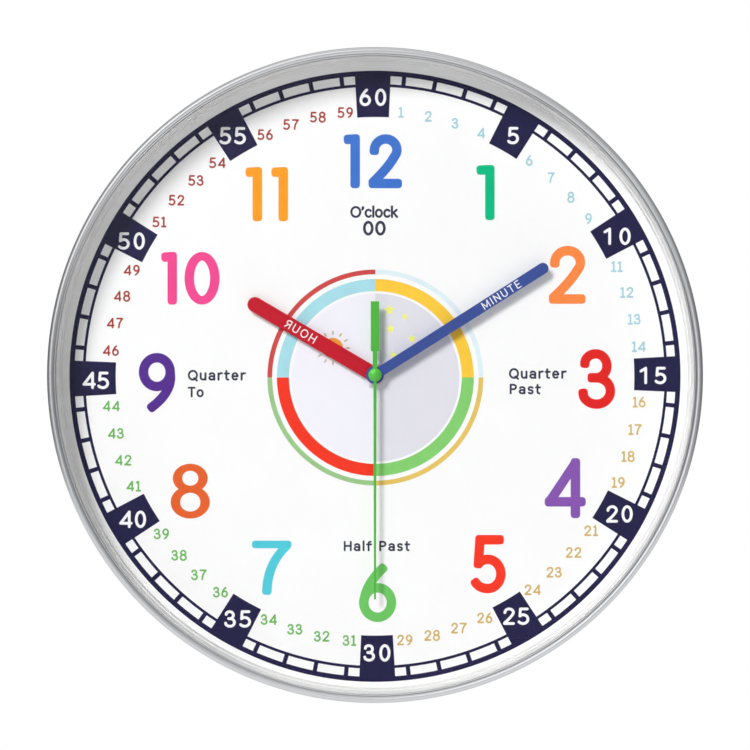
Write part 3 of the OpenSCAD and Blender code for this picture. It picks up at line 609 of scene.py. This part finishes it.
def piece(name, grids, look, body, crease=None):
    """One mesh of all the grids, with its finish, riding on a body. With a crease angle the
    faces are shaded smooth, apart from the edges that are sharper than it."""
    sizes = [grid.shape[0] * grid.shape[1] for grid in grids]
    starts = np.cumsum([0] + sizes[:-1])
    quads = np.concatenate([skin(grid) + start for grid, start in zip(grids, starts)])
    points = np.concatenate([grid.reshape(-1, 3) for grid in grids])
    a, b, c, d = points[quads].transpose(1, 0, 2)
    quads = quads[np.linalg.norm(np.cross(c - a, d - b), axis=1) > LEAST_AREA]
    mesh = bpy.data.meshes.new(name)
    mesh.from_pydata(points.tolist(), [], quads.tolist())
    mesh.materials.append(look)
    made = bpy.data.objects.new(name, mesh)
    scene.collection.objects.link(made)
    bpy.context.view_layer.objects.active = made
    weld = made.modifiers.new("weld", "WELD")
    weld.merge_threshold = MERGE_DISTANCE
    apply(made, weld)
    if crease:
        made.data.shade_smooth()
        made.data.set_sharp_from_angle(angle=np.radians(crease))
    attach(made, body)
    return made


def ink(name, code, drift=0.04):
    """Offset ink: an even colour with a slight drift, sunk into the coat, so it shines little."""
    return plain(name, code, drift, (0.6, 0.7), patch=6.0, grain=0.5, depth=0.003, shine=INK_SHINE)


def printed(name, strokes, look):
    """Strokes of one colour on the dial, as one piece."""
    return piece(name, [on_dial(stroke) for stroke in strokes], look, "case")


print("mesh maker ready")

# %% [markdown]
# ## Turned pieces
# The silver ring, the white ring behind it and the cap of the second hand are round about the
# spindle, so each is a profile carried round it, a list of corners and arcs in radius and depth
# from the wall. The solids of the frame are flat triangles, which a polished ring would show as
# glints, so these surfaces take their place with smooth shading.

# %% Turned surface
CREASE = 35.0


def corner(before, point, after, reach):
    """A bow that starts and ends a reach away from a corner, towards its neighbours."""
    toward = np.array([before, after], float) - point
    start, end = point + reach * toward / np.linalg.norm(toward, axis=1, keepdims=True)
    return bow(*start, *point, *end)


def softened(points, reach):
    """Closed outline with each corner bowed."""
    points = np.array(points, float)
    before, after = np.roll(points, 1, axis=0), np.roll(points, -1, axis=0)
    return join(*[corner(*three, reach) for three in zip(before, points, after)])


def way_round(steps):
    """Angles of one full turn, as a column."""
    return np.radians(np.linspace(0, 360, steps + 1))[:, None]


def lathe(axis, radius, along, steps, middle=(0, 0, 0)):
    """Radius times cosine and sine of the way round, about a line along one axis."""
    t = way_round(steps)
    round_it = [np.cos(t) * radius, np.sin(t) * radius]
    round_it.insert(axis, along + 0 * t)
    return (np.stack(round_it, axis=-1) + middle) * MM


def turned(profile, steps=360):
    """A profile of radius and depth from the wall, carried round the spindle."""
    return lathe(1, profile[:, 0], -profile[:, 1], steps)


def smooth(name, grid, body, slot):
    """A turned piece in the finish of its slot, with soft shading."""
    return piece(name, [grid], finish[slot], body, CREASE)


def box_mm(node):
    """Low and high corner of a node's box, and its middle, in millimetres."""
    low, high = np.array(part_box(node)) / MM
    return low, high, (low + high) / 2


def span(node):
    """Outside radius of a round node, and its depths from the wall, in millimetres."""
    low, high = box_mm(node)[:2]
    return high[0], -high[1], -low[1]


print("crease angle:", CREASE)

# %% Silver ring
ROLL, BEAD = 1.75, 0.3
BEAD_DROP = 0.4
SIDE_STEP = 0.5
SIDE_WALL = 1.6
LIP_WIDTH = 3.9
LIP_DEPTH = 2.0
GROOVE_ROLL, GROOVE_BEAD = 150.0, -30.0
ROLL_STEP = 6.0

ring_out, ring_rear, ring_front = span("bezel_ring")
side = ring_out - SIDE_STEP
roll_at = (ring_out - ROLL, ring_front - ROLL)
bead_at = (ring_out - LIP_WIDTH + BEAD, ring_front - BEAD_DROP - BEAD)
roll_start = -np.degrees(np.arccos((ROLL - SIDE_STEP) / ROLL))
profile = join(
    line(side - SIDE_WALL, ring_rear, side, ring_rear),
    arc(*roll_at, ROLL, ROLL, roll_start, GROOVE_ROLL, ROLL_STEP),
    arc(*bead_at, BEAD, BEAD, GROOVE_BEAD, 180, ROLL_STEP),
    line(ring_out - LIP_WIDTH, ring_front - LIP_DEPTH, side - SIDE_WALL, ring_front - LIP_DEPTH),
)
ring = smooth("silver_ring", turned(profile[::-1]), "case", "silver_frame")
print("ring profile points:", len(profile))

# %% Screw holes in the ring
SCREWS = 6
SCREW_DEPTH = 6.5
HEAD_RADIUS, HEAD_HEIGHT, SHANK_RADIUS = 2.4, 1.2, 1.2
HOLE_PLAY = 0.08
HOLE_OVER = 1.0
HOLE_STEPS = 48


def countersink(angle):
    """Cone and shank turned about a line from the spindle, at the depth of the screws."""
    reach = [side + HOLE_OVER, side, side - HEAD_HEIGHT, side - SIDE_WALL - HOLE_OVER]
    width = np.array([HEAD_RADIUS, HEAD_RADIUS, SHANK_RADIUS, SHANK_RADIUS]) + HOLE_PLAY
    reach, width = [reach[0], *reach, reach[-1]], np.array([0, *width, 0])
    out, beside, deep = np.moveaxis(lathe(0, width, reach, HOLE_STEPS, (0, 0, SCREW_DEPTH)), -1, 0)
    cos, sin = heading(angle)
    return np.stack([out * cos - beside * sin, -deep, out * sin + beside * cos], axis=-1)


cones = [countersink(k * 360 / SCREWS) for k in range(SCREWS)]
cutter = piece("cutter", cones, paper, "case")
cut = ring.modifiers.new("holes", "BOOLEAN")
cut.operation, cut.solver, cut.object = "DIFFERENCE", "EXACT", cutter
apply(ring, cut)
bpy.data.objects.remove(cutter)
ring.data.set_sharp_from_angle(angle=np.radians(CREASE))
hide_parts("bezel_ring")
print("ring faces:", len(ring.data.polygons))

# %% White ring
WALL_AT_DIAL = 2.9
WALL_AT_LENS = 1.8
LEDGE_IN, LEDGE_OUT = 2.7, 2.1
LEDGE_HEIGHT = 7.0
EDGE = 0.18

spacer_out, spacer_rear, spacer_front = span("spacer_ring")
ledge = spacer_rear + LEDGE_HEIGHT
corners = [
    (spacer_out - WALL_AT_DIAL, spacer_rear), (spacer_out - LEDGE_IN, ledge),
    (spacer_out - LEDGE_OUT, ledge), (spacer_out - WALL_AT_LENS, spacer_front),
    (spacer_out, spacer_front), (spacer_out, spacer_rear),
]
white_ring = smooth("white_ring", turned(softened(corners, EDGE)), "case", "white_plastic")
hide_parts("spacer_ring")
print("white ring from", round(spacer_rear, 2), "to", round(spacer_front, 2), "mm")

# %% Cap of the second hand
CAP_STEPS = 24
CAP_ROUND = 96

cap_out, cap_rear, cap_front = span("second_hand_dome")
cap_rise = cap_front - cap_rear
ball = (cap_out ** 2 + cap_rise ** 2) / (2 * cap_rise)
lean = np.linspace(0, np.arcsin(cap_out / ball), CAP_STEPS)
dome = np.stack([ball * np.sin(lean), cap_front - ball * (1 - np.cos(lean))], axis=1)
grid = turned(np.concatenate([dome, line(0, cap_rear)]), CAP_ROUND)
cap = smooth("second_cap", grid, "second", "green_plastic")
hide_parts("second_hand_dome")
print("cap radius", round(cap_out, 2), "rise", round(cap_rise, 2), "mm")

# %% [markdown]
# ## Minute track
# The track is a navy ring, a thin line, a bar at each minute and a block at each fifth. Rings
# are looped ribbons, and the others have square ends. As in the photograph, the sheet is turned
# by less than half a degree.

# %% Minute track
SHEET_TURN = 0.43
SHEET_DROP = 0.6
TRACK_OUT, TRACK_IN = 141.5, 139.2
LINE_OUT, LINE_IN = 135.4, 134.1
BLOCK_IN = 120.1
BLOCK_HALF_ANGLE = 3.45
BAR_HALF = 1.0
BAR_OVER = 0.2
SMALL_LIFT = 0.012

navy = ink("ink_navy", "#1F1C42")


def band(inner, outer, start=0.0, end=360.0, lift=0.0, centre=(0, -SHEET_DROP)):
    """Ribbon along the middle of a ring or a part of it, with square ends."""
    middle, half = (inner + outer) / 2, (outer - inner) / 2
    return ribbon(arc(*centre, middle, middle, start, end, RING_STEP), half, 0, lift)


def face_angle(minute):
    """Angle from the right of a minute mark on the turned sheet."""
    return 90 - minute * 6 + SHEET_TURN


def dial_point(radius, minute):
    """Point at a radius from the middle of the sheet, at a minute mark."""
    return radius * heading(face_angle(minute)) - [0, SHEET_DROP]


def bar(minute):
    """Square-ended ribbon from the thin line out to the ring at one minute."""
    ends = [dial_point(radius, minute) for radius in (LINE_OUT - BAR_OVER, TRACK_IN + BAR_OVER)]
    return ribbon(np.array(ends), BAR_HALF, 0, SMALL_LIFT)


def block(minute):
    """Part of a wide ring, over half a minute to both sides of a mark."""
    t = face_angle(minute)
    return band(BLOCK_IN, TRACK_OUT, t - BLOCK_HALF_ANGLE, t + BLOCK_HALF_ANGLE, 2 * SMALL_LIFT)


printed("print_track_rings", [band(TRACK_IN, TRACK_OUT), band(LINE_IN, LINE_OUT)], navy)
bars = [bar(minute) for minute in range(60) if minute % 5]
blocks = [block(minute) for minute in range(0, 60, 5)]
printed("print_track_bars", bars, navy)
printed("print_track_blocks", blocks, navy)
print("bars:", len(bars), "blocks:", len(blocks))

# %% [markdown]
# ## An alphabet of strokes
# The numerals are round-ended strokes, so each sign is a few pen moves in a box one high:
# straight lines, arcs and bows. The table holds the width of each sign and its moves. Where two
# moves meet, their round ends make a round corner. The sign | stands for a one with a foot, and
# ! for a one with a long flag.

# %% Signs
TOP, FOOT = 0.917, 0.083
BOWL = [join(line(0.1, TOP, 0.3, TOP), arc(0.3, 0.7, 0.23, 0.217, 90, -90), line(0.1, 0.483))]
LEFT_STEM = [line(0.1, FOOT, 0.1, TOP)]
TALL_STEM = [line(0.1, FOOT, 0.1, 0.97)]
WIDE_RING = [arc(0.4, 0.5, 0.317, 0.417)]

SIGNS = {
    "0": (0.62, [arc(0.31, 0.5, 0.227, 0.417)]),
    "1": (0.37, [line(0.085, 0.91, 0.285, TOP), line(0.285, TOP, 0.285, FOOT)]),
    "2": (0.66, [join(arc(0.34, 0.705, 0.228, 0.212, 180, 90), arc(0.34, 0.715, 0.228, 0.202, 90, -40),
                      bow(0.515, 0.585, 0.4, 0.39, 0.1, 0.12)), line(0.09, FOOT, 0.575, FOOT)]),
    "3": (0.62, [join(arc(0.285, 0.76, 0.193, 0.157, 180, 90), arc(0.285, 0.718, 0.193, 0.199, 90, -90)),
                 join(arc(0.3, 0.301, 0.238, 0.218, 90, -90), arc(0.3, 0.262, 0.238, 0.179, -90, -180)),
                 line(0.222, 0.52, 0.31, 0.52)]),
    "4": (0.72, [line(0.53, 0.9, 0.095, 0.3), line(0.075, 0.275, 0.64, 0.275),
                 line(0.54, TOP, 0.54, FOOT)]),
    "5": (0.66, [line(0.525, TOP, 0.155, TOP), line(0.155, TOP, 0.125, 0.51),
                 join(arc(0.305, 0.333, 0.253, 0.25, 128, -90),
                      arc(0.305, 0.25, 0.253, 0.167, -90, -155))]),
    "6": (0.64, [arc(0.312, 0.334, 0.234, 0.255), bow(0.39, 0.92, 0.1, 0.63, 0.078, 0.334)]),
    "7": (0.67, [line(0.085, TOP, 0.585, TOP), bow(0.572, 0.875, 0.27, 0.56, 0.255, FOOT)]),
    "8": (0.66, [arc(0.33, 0.733, 0.219, 0.201, -90, 270), arc(0.33, 0.295, 0.255, 0.237)]),
    "9": (0.64, [arc(0.32, 0.675, 0.225, 0.248, 0, 360), bow(0.545, 0.66, 0.59, 0.347, 0.24, 0.075)]),
    "!": (0.42, [line(0.06, 0.75, 0.31, 0.91), line(0.315, TOP, 0.315, FOOT)]),
    "|": (0.44, [line(0.1, 0.83, 0.25, 0.915), line(0.25, 0.915, 0.25, 0.07),
                 line(0.08, 0.07, 0.42, 0.07)]),
    "O": (0.80, WIDE_RING),
    "Q": (0.80, WIDE_RING + [line(0.5, 0.22, 0.72, 0.0)]),
    "P": (0.62, LEFT_STEM + BOWL),
    "R": (0.64, LEFT_STEM + BOWL + [line(0.32, 0.483, 0.55, FOOT)]),
    "T": (0.64, [line(0.08, TOP, 0.56, TOP), line(0.32, TOP, 0.32, FOOT)]),
    "H": (0.70, LEFT_STEM + [line(0.6, FOOT, 0.6, TOP), line(0.1, 0.51, 0.6, 0.51)]),
    "M": (0.86, LEFT_STEM + [line(0.1, TOP, 0.43, 0.2), line(0.43, 0.2, 0.76, TOP),
                             line(0.76, TOP, 0.76, FOOT)]),
    "I": (0.20, LEFT_STEM),
    "N": (0.72, LEFT_STEM + [line(0.1, TOP, 0.62, FOOT), line(0.62, FOOT, 0.62, TOP)]),
    "U": (0.70, [join(line(0.1, TOP, 0.1, 0.33), arc(0.35, 0.33, 0.25, 0.247, 180, 360), line(0.6, TOP))]),
    "E": (0.58, LEFT_STEM + [line(0.1, TOP, 0.5, TOP), line(0.1, 0.51, 0.46, 0.51),
                             line(0.1, FOOT, 0.5, FOOT)]),
    "a": (0.58, [join(arc(0.28, 0.51, 0.19, 0.18, 155, 0), line(0.47, FOOT)),
                 arc(0.27, 0.25, 0.19, 0.165, 80, 440)]),
    "c": (0.54, [arc(0.3, 0.39, 0.21, 0.3, 42, 318)]),
    "e": (0.60, [line(0.1, 0.4, 0.5, 0.4), arc(0.3, 0.39, 0.205, 0.3, 2, 312)]),
    "f": (0.42, [join(line(0.18, FOOT, 0.18, 0.77), arc(0.33, 0.77, 0.15, 0.15, 180, 85)),
                 line(0.05, 0.66, 0.38, 0.66)]),
    "k": (0.54, TALL_STEM + [line(0.43, 0.68, 0.12, 0.36), line(0.2, 0.45, 0.46, FOOT)]),
    "l": (0.20, TALL_STEM),
    "o": (0.60, [arc(0.3, 0.39, 0.21, 0.3)]),
    "r": (0.42, [line(0.1, 0.68, 0.1, FOOT), arc(0.33, 0.44, 0.23, 0.25, 175, 80)]),
    "s": (0.50, [join(arc(0.26, 0.54, 0.165, 0.15, 30, 265), arc(0.245, 0.235, 0.17, 0.155, 85, -145))]),
    "t": (0.44, [join(line(0.18, 0.9, 0.18, 0.24), arc(0.32, 0.24, 0.14, 0.155, 180, 275)),
                 line(0.06, 0.66, 0.38, 0.66)]),
    "u": (0.58, [join(line(0.1, 0.68, 0.1, 0.3), arc(0.285, 0.3, 0.185, 0.215, 180, 360)),
                 line(0.47, 0.68, 0.47, FOOT)]),
    "'": (0.22, [line(0.1, 0.9, 0.12, 0.9), bow(0.13, 0.9, 0.14, 0.8, 0.07, 0.72)]),
    " ": (0.34, []),
}


def fitted(sign, left, right, foot, top, half, cap, thin):
    """Strokes of one sign whose ink fills a box: the moves are stretched from their own bounds
    to the box less half a pen on all sides."""
    moves = SIGNS[sign][1]
    every = np.concatenate(moves)
    low, reach = every.min(axis=0), np.ptp(every, axis=0)
    pen = half * np.array([1, 1 - thin])
    room = [right - left, top - foot] - 2 * pen
    placed = [(path - low) / reach * room + [left, foot] + pen for path in moves]
    return [ribbon(path, half, cap, k * SMALL_LIFT, thin) for k, path in enumerate(placed)]


def written(words, height, half, width=None, gap=0.14, centre=(0.0, 0.0), broad=1.0):
    """Strokes of a line of signs about its centre: each box is scaled, drawn out by a factor,
    set beside the last, and each stroke is lifted a little above the one before."""
    widths = np.array([SIGNS[sign][0] for sign in words]) * height * broad
    steps = max(len(words) - 1, 1)
    space = gap * height if width is None else (width - widths.sum()) / steps
    starts = np.cumsum(np.concatenate([[0], widths[:-1] + space]))
    full = starts[-1] + widths[-1]
    strokes = []
    for sign, start in zip(words, starts):
        for k, path in enumerate(SIGNS[sign][1]):
            flat = path * [height * broad, height] + [start - full / 2, -height / 2]
            strokes.append(ribbon(flat + centre, half * height, 1, k * SMALL_LIFT))
    return strokes


print("signs:", len(SIGNS))

# %% [markdown]
# ## Hour numerals
# Each hour has its own colour. The numerals stand upright and are set one by one, as on the printed
# sheet, so each has its own foot and top, and each of its signs its own left and right edge.

# %% Hours
HOUR_HALF = 2.2
HOUR_CAP = 0.7
THIN_LEVELS = {"0": 0.1, "7": 0.2, "8": 0.26}
HOURS = [
    ("12", "#3F73CC", 86.5, 111.5, [(-14.5, -7.0), (-3.0, 12.5)]),
    ("1", "#00BA82", 71.7, 97.3, [(47.0, 55.4)]),
    ("2", "#FF8A45", 33.0, 59.8, [(80.5, 97.5)]),
    ("3", "#E2231F", -15.7, 12.0, [(94.2, 111.2)]),
    ("4", "#8655AE", -66.3, -38.5, [(78.6, 97.6)]),
    ("5", "#F63722", -101.1, -74.1, [(44.5, 60.5)]),
    ("6", "#6CC462", -114.4, -87.5, [(-7.4, 9.8)]),
    ("7", "#52CADA", -101.4, -76.7, [(-57.0, -38.7)]),
    ("8", "#E4622C", -66.5, -41.1, [(-94.6, -76.5)]),
    ("9", "#552E8E", -17.0, 10.2, [(-109.4, -92.5)]),
    ("10", "#F24A92", 32.6, 57.0, [(-99.0, -91.7), (-88.2, -72.0)]),
    ("11", "#FC9F22", 71.2, 96.3, [(-60.0, -52.3), (-48.0, -40.3)]),
]

for words, code, foot, top, edges in HOURS:
    strokes = []
    for sign, (left, right) in zip(words, edges):
        thin = THIN_LEVELS.get(sign, 0.0)
        strokes += fitted(sign, left, right, foot, top, HOUR_HALF, HOUR_CAP, thin)
    printed("print_hour_" + words, strokes, ink("ink_hour_" + words, code))
print("hours:", len(HOURS))

# %% [markdown]
# ## Minute numerals
# The small numerals change colour with each quarter, and their ones have a foot. The fives are
# white on the blocks, their ones have a long flag, and each is set a little off its mark. The
# table gives how far across and up.

# %% Minutes
MINUTE_RADIUS = 122.9
MINUTE_HEIGHT = 5.0
DIGIT_PEN = 0.08
FIVE_RADIUS = 129.2
FIVE_HEIGHT = 8.1
FIVE_BROAD = 1.06
FIVE_WIDTH = 12.5
BLOCK_TOP = 0.04
QUARTERS = ["#A5D0DC", "#D2B368", "#6FB75C", "#A63A30"]
FIVES = {
    5: (0.3, -0.9), 10: (0.8, -0.6), 15: (-0.3, -0.6), 20: (0.8, 0.0), 25: (0.0, 0.3), 30: (0.0, 1.1),
    35: (0.3, 0.0), 40: (-0.8, -0.8), 45: (0.0, -0.9), 50: (-0.4, -1.1), 55: (-0.4, 0.0), 60: (0.0, 0.0),
}

for quarter, code in enumerate(QUARTERS):
    strokes = []
    for minute in range(quarter * 15 + 1, quarter * 15 + 15):
        if minute % 5:
            words = str(minute).replace("1", "|")
            centre = dial_point(MINUTE_RADIUS, minute)
            strokes += written(words, MINUTE_HEIGHT, DIGIT_PEN, centre=centre)
    printed(f"print_minutes_{quarter + 1}", strokes, ink(f"ink_minutes_{quarter + 1}", code))

strokes = []
for minute, off in FIVES.items():
    centre = dial_point(FIVE_RADIUS, minute) + off
    words = str(minute).replace("1", "!")
    strokes += written(words, FIVE_HEIGHT, DIGIT_PEN, FIVE_WIDTH, centre=centre, broad=FIVE_BROAD)
strokes = [stroke + [0, 0, BLOCK_TOP] for stroke in strokes]
printed("print_fives", strokes, ink("ink_white", "#F6F6F8", 0.01))
print("quarters:", len(QUARTERS), "fives:", len(FIVES))

# %% [markdown]
# ## Words on the dial
# A teaching clock says how the quarters are spoken. The words are small and slate grey. Each
# row of the table has the words, their height and width, and their middle across and up.

# %% Words
WORD_PEN = 0.095
WORD_BROAD = 1.2
WORDS = [
    ("O'clock", 5.4, 22.2, -0.4, 75.5), ("00", 6.7, 10.6, -0.3, 68.0),
    ("Quarter", 4.9, 26.6, 75.3, 0.7), ("Past", 4.8, 14.5, 69.5, -6.5),
    ("Half Past", 4.7, 30.8, 0.8, -79.2),
    ("Quarter", 4.9, 26.8, -73.3, -0.1), ("To", 4.8, 7.5, -83.0, -7.9),
]

strokes = []
for words, height, width, across, up in WORDS:
    strokes += written(words, height, WORD_PEN, width, centre=(across, up), broad=WORD_BROAD)
printed("print_words", strokes, ink("ink_slate", "#3A3C50"))
print("words:", len(WORDS))

# %% [markdown]
# ## Quarter rings, day and night
# Two rings of four colours show the quarters, round a disc with a sun on its day side and a
# few stars on its night side. A star is an outline whose radius jumps between two values, and
# its sections all start at its middle, so that the merge closes it.

# %% Quarter rings
RING_MIDDLE = (0.15, -1.15)
RINGS = {
    "thin": (47.8, 50.0, ["#E0F0F6", "#CE4A48", "#9CC88A", "#E6C464"]),
    "thick": (40.0, 45.6, ["#FFCC40", "#A8DEE9", "#F43722", "#85D070"]),
}

for label, (inner, outer, codes) in RINGS.items():
    for quarter, code in enumerate(codes):
        name = f"ring_{label}_{quarter + 1}"
        stretch = band(inner, outer, quarter * 90, quarter * 90 + 90, centre=RING_MIDDLE)
        printed("print_" + name, [stretch], ink("ink_" + name, code))
print("rings of four quarters:", len(RINGS))

# %% Day and night
DISC_OUT = 38.9
WASHER_ROOM = 0.1
SUN_AT = (-19.5, 12.5)
SUN_RADIUS = 4.7
RAY_IN, RAY_OUT = 6.4, 7.6
RAY_HALF = 0.36
RAYS = 12
STAR_TIPS = 5
NOTCH = 0.48
STARS = [(6.7, 30.1, 2.6), (13.8, 27.0, 1.7), (7.1, 21.3, 2.2), (17.2, 16.8, 2.1), (8.4, 9.4, 1.8)]
PICTURE_LIFT = 0.03

disc_in = span("dial_washer")[0] + WASHER_ROOM


def plate(outline, inner, lift=PICTURE_LIFT):
    """Closed flat shape: sections from its middle or inner edge to its outline, above and below."""
    return film(np.broadcast_to(inner, outline.shape), outline, lift)


def half_disc(start):
    """Half a turn from the washer, round the spindle, to a circle about the quarter rings."""
    inner = arc(0, 0, disc_in, disc_in, start, start + 180, RING_STEP)
    return plate(arc(*RING_MIDDLE, DISC_OUT, DISC_OUT, start, start + 180, RING_STEP), inner, 0)


def star(across, up, radius):
    """Points of a circle whose radius jumps between the tips and the notches."""
    k = np.arange(2 * STAR_TIPS + 1)
    reach = np.where(k % 2, NOTCH * radius, radius)[:, None]
    middle = np.array([across, up])
    return plate(middle + reach * heading(90 + k * 180 / STAR_TIPS), middle)


def sun_ray(k):
    """Short round-ended ribbon pointing at the sun."""
    reach = np.array([[RAY_IN], [RAY_OUT]])
    return ribbon(reach * heading(k * 360 / RAYS) + SUN_AT, RAY_HALF, 1, PICTURE_LIFT)


printed("print_day_side", [half_disc(90)], ink("ink_day", "#F3F2FB", 0.01))
printed("print_night_side", [half_disc(270)], ink("ink_night", "#E2E1EA", 0.01))
sun_edge = arc(*SUN_AT, SUN_RADIUS, SUN_RADIUS, 0, 360)
printed("print_sun", [plate(sun_edge, np.array(SUN_AT))], ink("ink_sun", "#F5A43C"))
printed("print_sun_rays", [sun_ray(k) for k in range(RAYS)], ink("ink_rays", "#BDB68E"))
printed("print_stars", [star(*place) for place in STARS], ink("ink_stars", "#F5F878"))
print("disc from", round(disc_in, 2), "mm, rays:", RAYS, "stars:", len(STARS))

# %% [markdown]
# ## Words on the hands
# The hour and minute hands carry their names in white, from the spindle to the tip, the hour's
# mirrored as in the photograph. The words ride on the bodies of the hands and turn with them.
# Each row has the body, the clock angle, the reach from the spindle, height, width, how far the
# hub stands above the sheet, the slot, and whether the word is mirrored.

# %% Hand words
HAND_PEN = 0.062
HAND_BROAD = 1.15
HAND_WORDS = [
    ("hour", 300.4, 39.8, 4.2, 16.2, 0.3, "red_hand", True),
    ("minute", 57.6, 69.0, 3.9, 20.6, 0.15, "blue_hand", False),
]
white_ink = ink("ink_hand_words", "#F2F2F4", 0.01)

for body, angle, reach, height, width, hub_step, slot, mirrored in HAND_WORDS:
    hand = body + "_hand"
    sheet_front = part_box(hand)[0].y + hub_step * MM
    cos, sin = heading(90 - angle)
    strokes = written(body.upper(), height, HAND_PEN, width, broad=HAND_BROAD)
    if mirrored:
        strokes = [(stroke * [1, -1, 1])[:, SWAPPED] for stroke in strokes]
    spin = np.array([[cos, sin, 0], [-sin, cos, 0], [0, 0, 1]])
    grids = [on_dial(stroke @ spin + reach * spin[0], sheet_front) for stroke in strokes]
    piece(hand + "_word", grids, white_ink, body)
    print("word on", hand, "at", round(sheet_front / MM, 2), "mm")

# %% [markdown]
# ## Wound coil
# The coil of the motor is thousands of turns of hair-thin wire. A turn can't be modelled, but
# the ribbed outside can: the radius follows the absolute sine of the place along the coil, a
# row of arches, closed by flat ends down to the bobbin.

# %% Coil
TURNS = 46
TURN_STEPS = 6
ROUND_STEPS = 40
RIB = 0.10

low, high, middle = box_mm("coil_winding")
core_low, core_high = box_mm("coil_core")[:2]
size = high - low
long_axis = int(np.argmax(size))
outer = np.delete(size, long_axis)[0] / 2
inner = np.delete(core_high - core_low, long_axis).max() / 2
share = np.linspace(0, 1, TURNS * TURN_STEPS + 1)
ribbed = outer - RIB * (1 - np.abs(np.sin(np.pi * TURNS * share)))
radius = np.concatenate([[inner], ribbed, [inner]])
along = (np.concatenate([[0], share, [1]]) - 0.5) * size[long_axis]
grid = lathe(long_axis, radius, along, ROUND_STEPS, middle)
coil = piece("coil_turns", [grid], finish["copper_wire"], "case")
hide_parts("coil_winding")
print("coil radius", round(outer, 2), "mm, turns shown", TURNS)

# %% [markdown]
# ## Knob and cell
# Both are round about their own line, so each is again a profile carried round. The knob is
# moulded with grips: near its rim the radius loses a wave with one crest for each grip. The
# cell is a drawn can, so its shoulders are round.

# %% Setting knob
GRIPS = 18
GRIP_DEPTH = 0.45
GRIP_STEPS = 12
RIM_BOW = 0.7
GRIP_FROM = 0.75
BORE = 1.5
KNOB_FLOOR = 1.0

low, high, hub = box_mm("setting_knob")
rim = high[0] - hub[0]
rear, front = high[1], low[1]
floor_at = rear - KNOB_FLOOR
outline = line(0, rear, rim, rear, rim, front, BORE, front, BORE, floor_at, 0, floor_at)
edges = corner(*outline[:3], RIM_BOW), corner(*outline[1:4], RIM_BOW)
profile = join(outline[:1], *edges, outline[3:])
steps = GRIPS * GRIP_STEPS
share = np.clip((profile[:, 0] / rim - GRIP_FROM) / (1 - GRIP_FROM), 0, 1)
wave = (1 - np.cos(GRIPS * way_round(steps))) / 2
radius = profile[:, 0] - GRIP_DEPTH * share * wave
grid = lathe(1, radius, profile[:, 1], steps, hub * [1, 0, 1])[::-1]
knob = smooth("knob_gripped", grid, "setting", "knob_plastic")
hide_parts("setting_knob")
print("knob radius", round(rim, 2), "mm, grips", GRIPS)

# %% Cell
SHOULDER = 0.9
CELL_ROUND = 120

low, high, middle = box_mm("battery")
can = high[2] - middle[2]
ends = line(low[0], 0, low[0], can, high[0], can, high[0], 0)
profile = join(ends[:1], corner(*ends[:3], SHOULDER), corner(*ends[1:], SHOULDER), ends[3:])
grid = lathe(0, profile[:, 1], profile[:, 0], CELL_ROUND, middle * [0, 1, 1])[::-1]
cell = smooth("cell_can", grid, "case", "cell_jacket")
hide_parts("battery")
print("cell radius", round(can, 2), "mm")

# %% [markdown]
# ## Moulded marks
# The case of the movement has the usual raised marks: plus and minus at the ends of the cell,
# and an arrow round the knob, picked out in grey. They are the pen's ribbons again, taller and
# seen from behind, so their left and right sides change places.

# %% Marks
MARK_HALF = 0.45
MARK_ARM = 1.6
MARK_OVER = 4.5
MARK_TALL = 5.0
ARROW_GAP = 2.2
ARROW_FROM, ARROW_TO = 150.0, 20.0
BARB = 1.9
BARB_TURN = 0.65

shell_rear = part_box("movement_rear_shell")[1].y
mark_z = high[2] + MARK_OVER
plus_x, minus_x = high[0] - MARK_OVER, low[0] + MARK_OVER
sweep = arc(hub[0], hub[2], rim + ARROW_GAP, rim + ARROW_GAP, ARROW_FROM, ARROW_TO)
tip, ahead = sweep[-1], np.radians(ARROW_TO - 90)
turns = ahead + np.array([BARB_TURN, -BARB_TURN])
barbs = tip - BARB * np.stack([np.cos(turns), np.sin(turns)], axis=1)
paths = [
    line(plus_x - MARK_ARM, mark_z, plus_x + MARK_ARM, mark_z),
    line(plus_x, mark_z - MARK_ARM, plus_x, mark_z + MARK_ARM),
    line(minus_x - MARK_ARM, mark_z, minus_x + MARK_ARM, mark_z),
    sweep, *[np.stack([barb, tip]) for barb in barbs],
]
grids = []
for k, path in enumerate(paths):
    stroke = ribbon(path, MARK_HALF, 1, k * SMALL_LIFT)[:, SWAPPED] * [1, 1, -MARK_TALL]
    grids.append(on_dial(stroke, shell_rear))
piece("movement_marks", grids, ink("mark_paint", "#A9AAAD"), "case")
print("strokes of the marks:", len(paths))
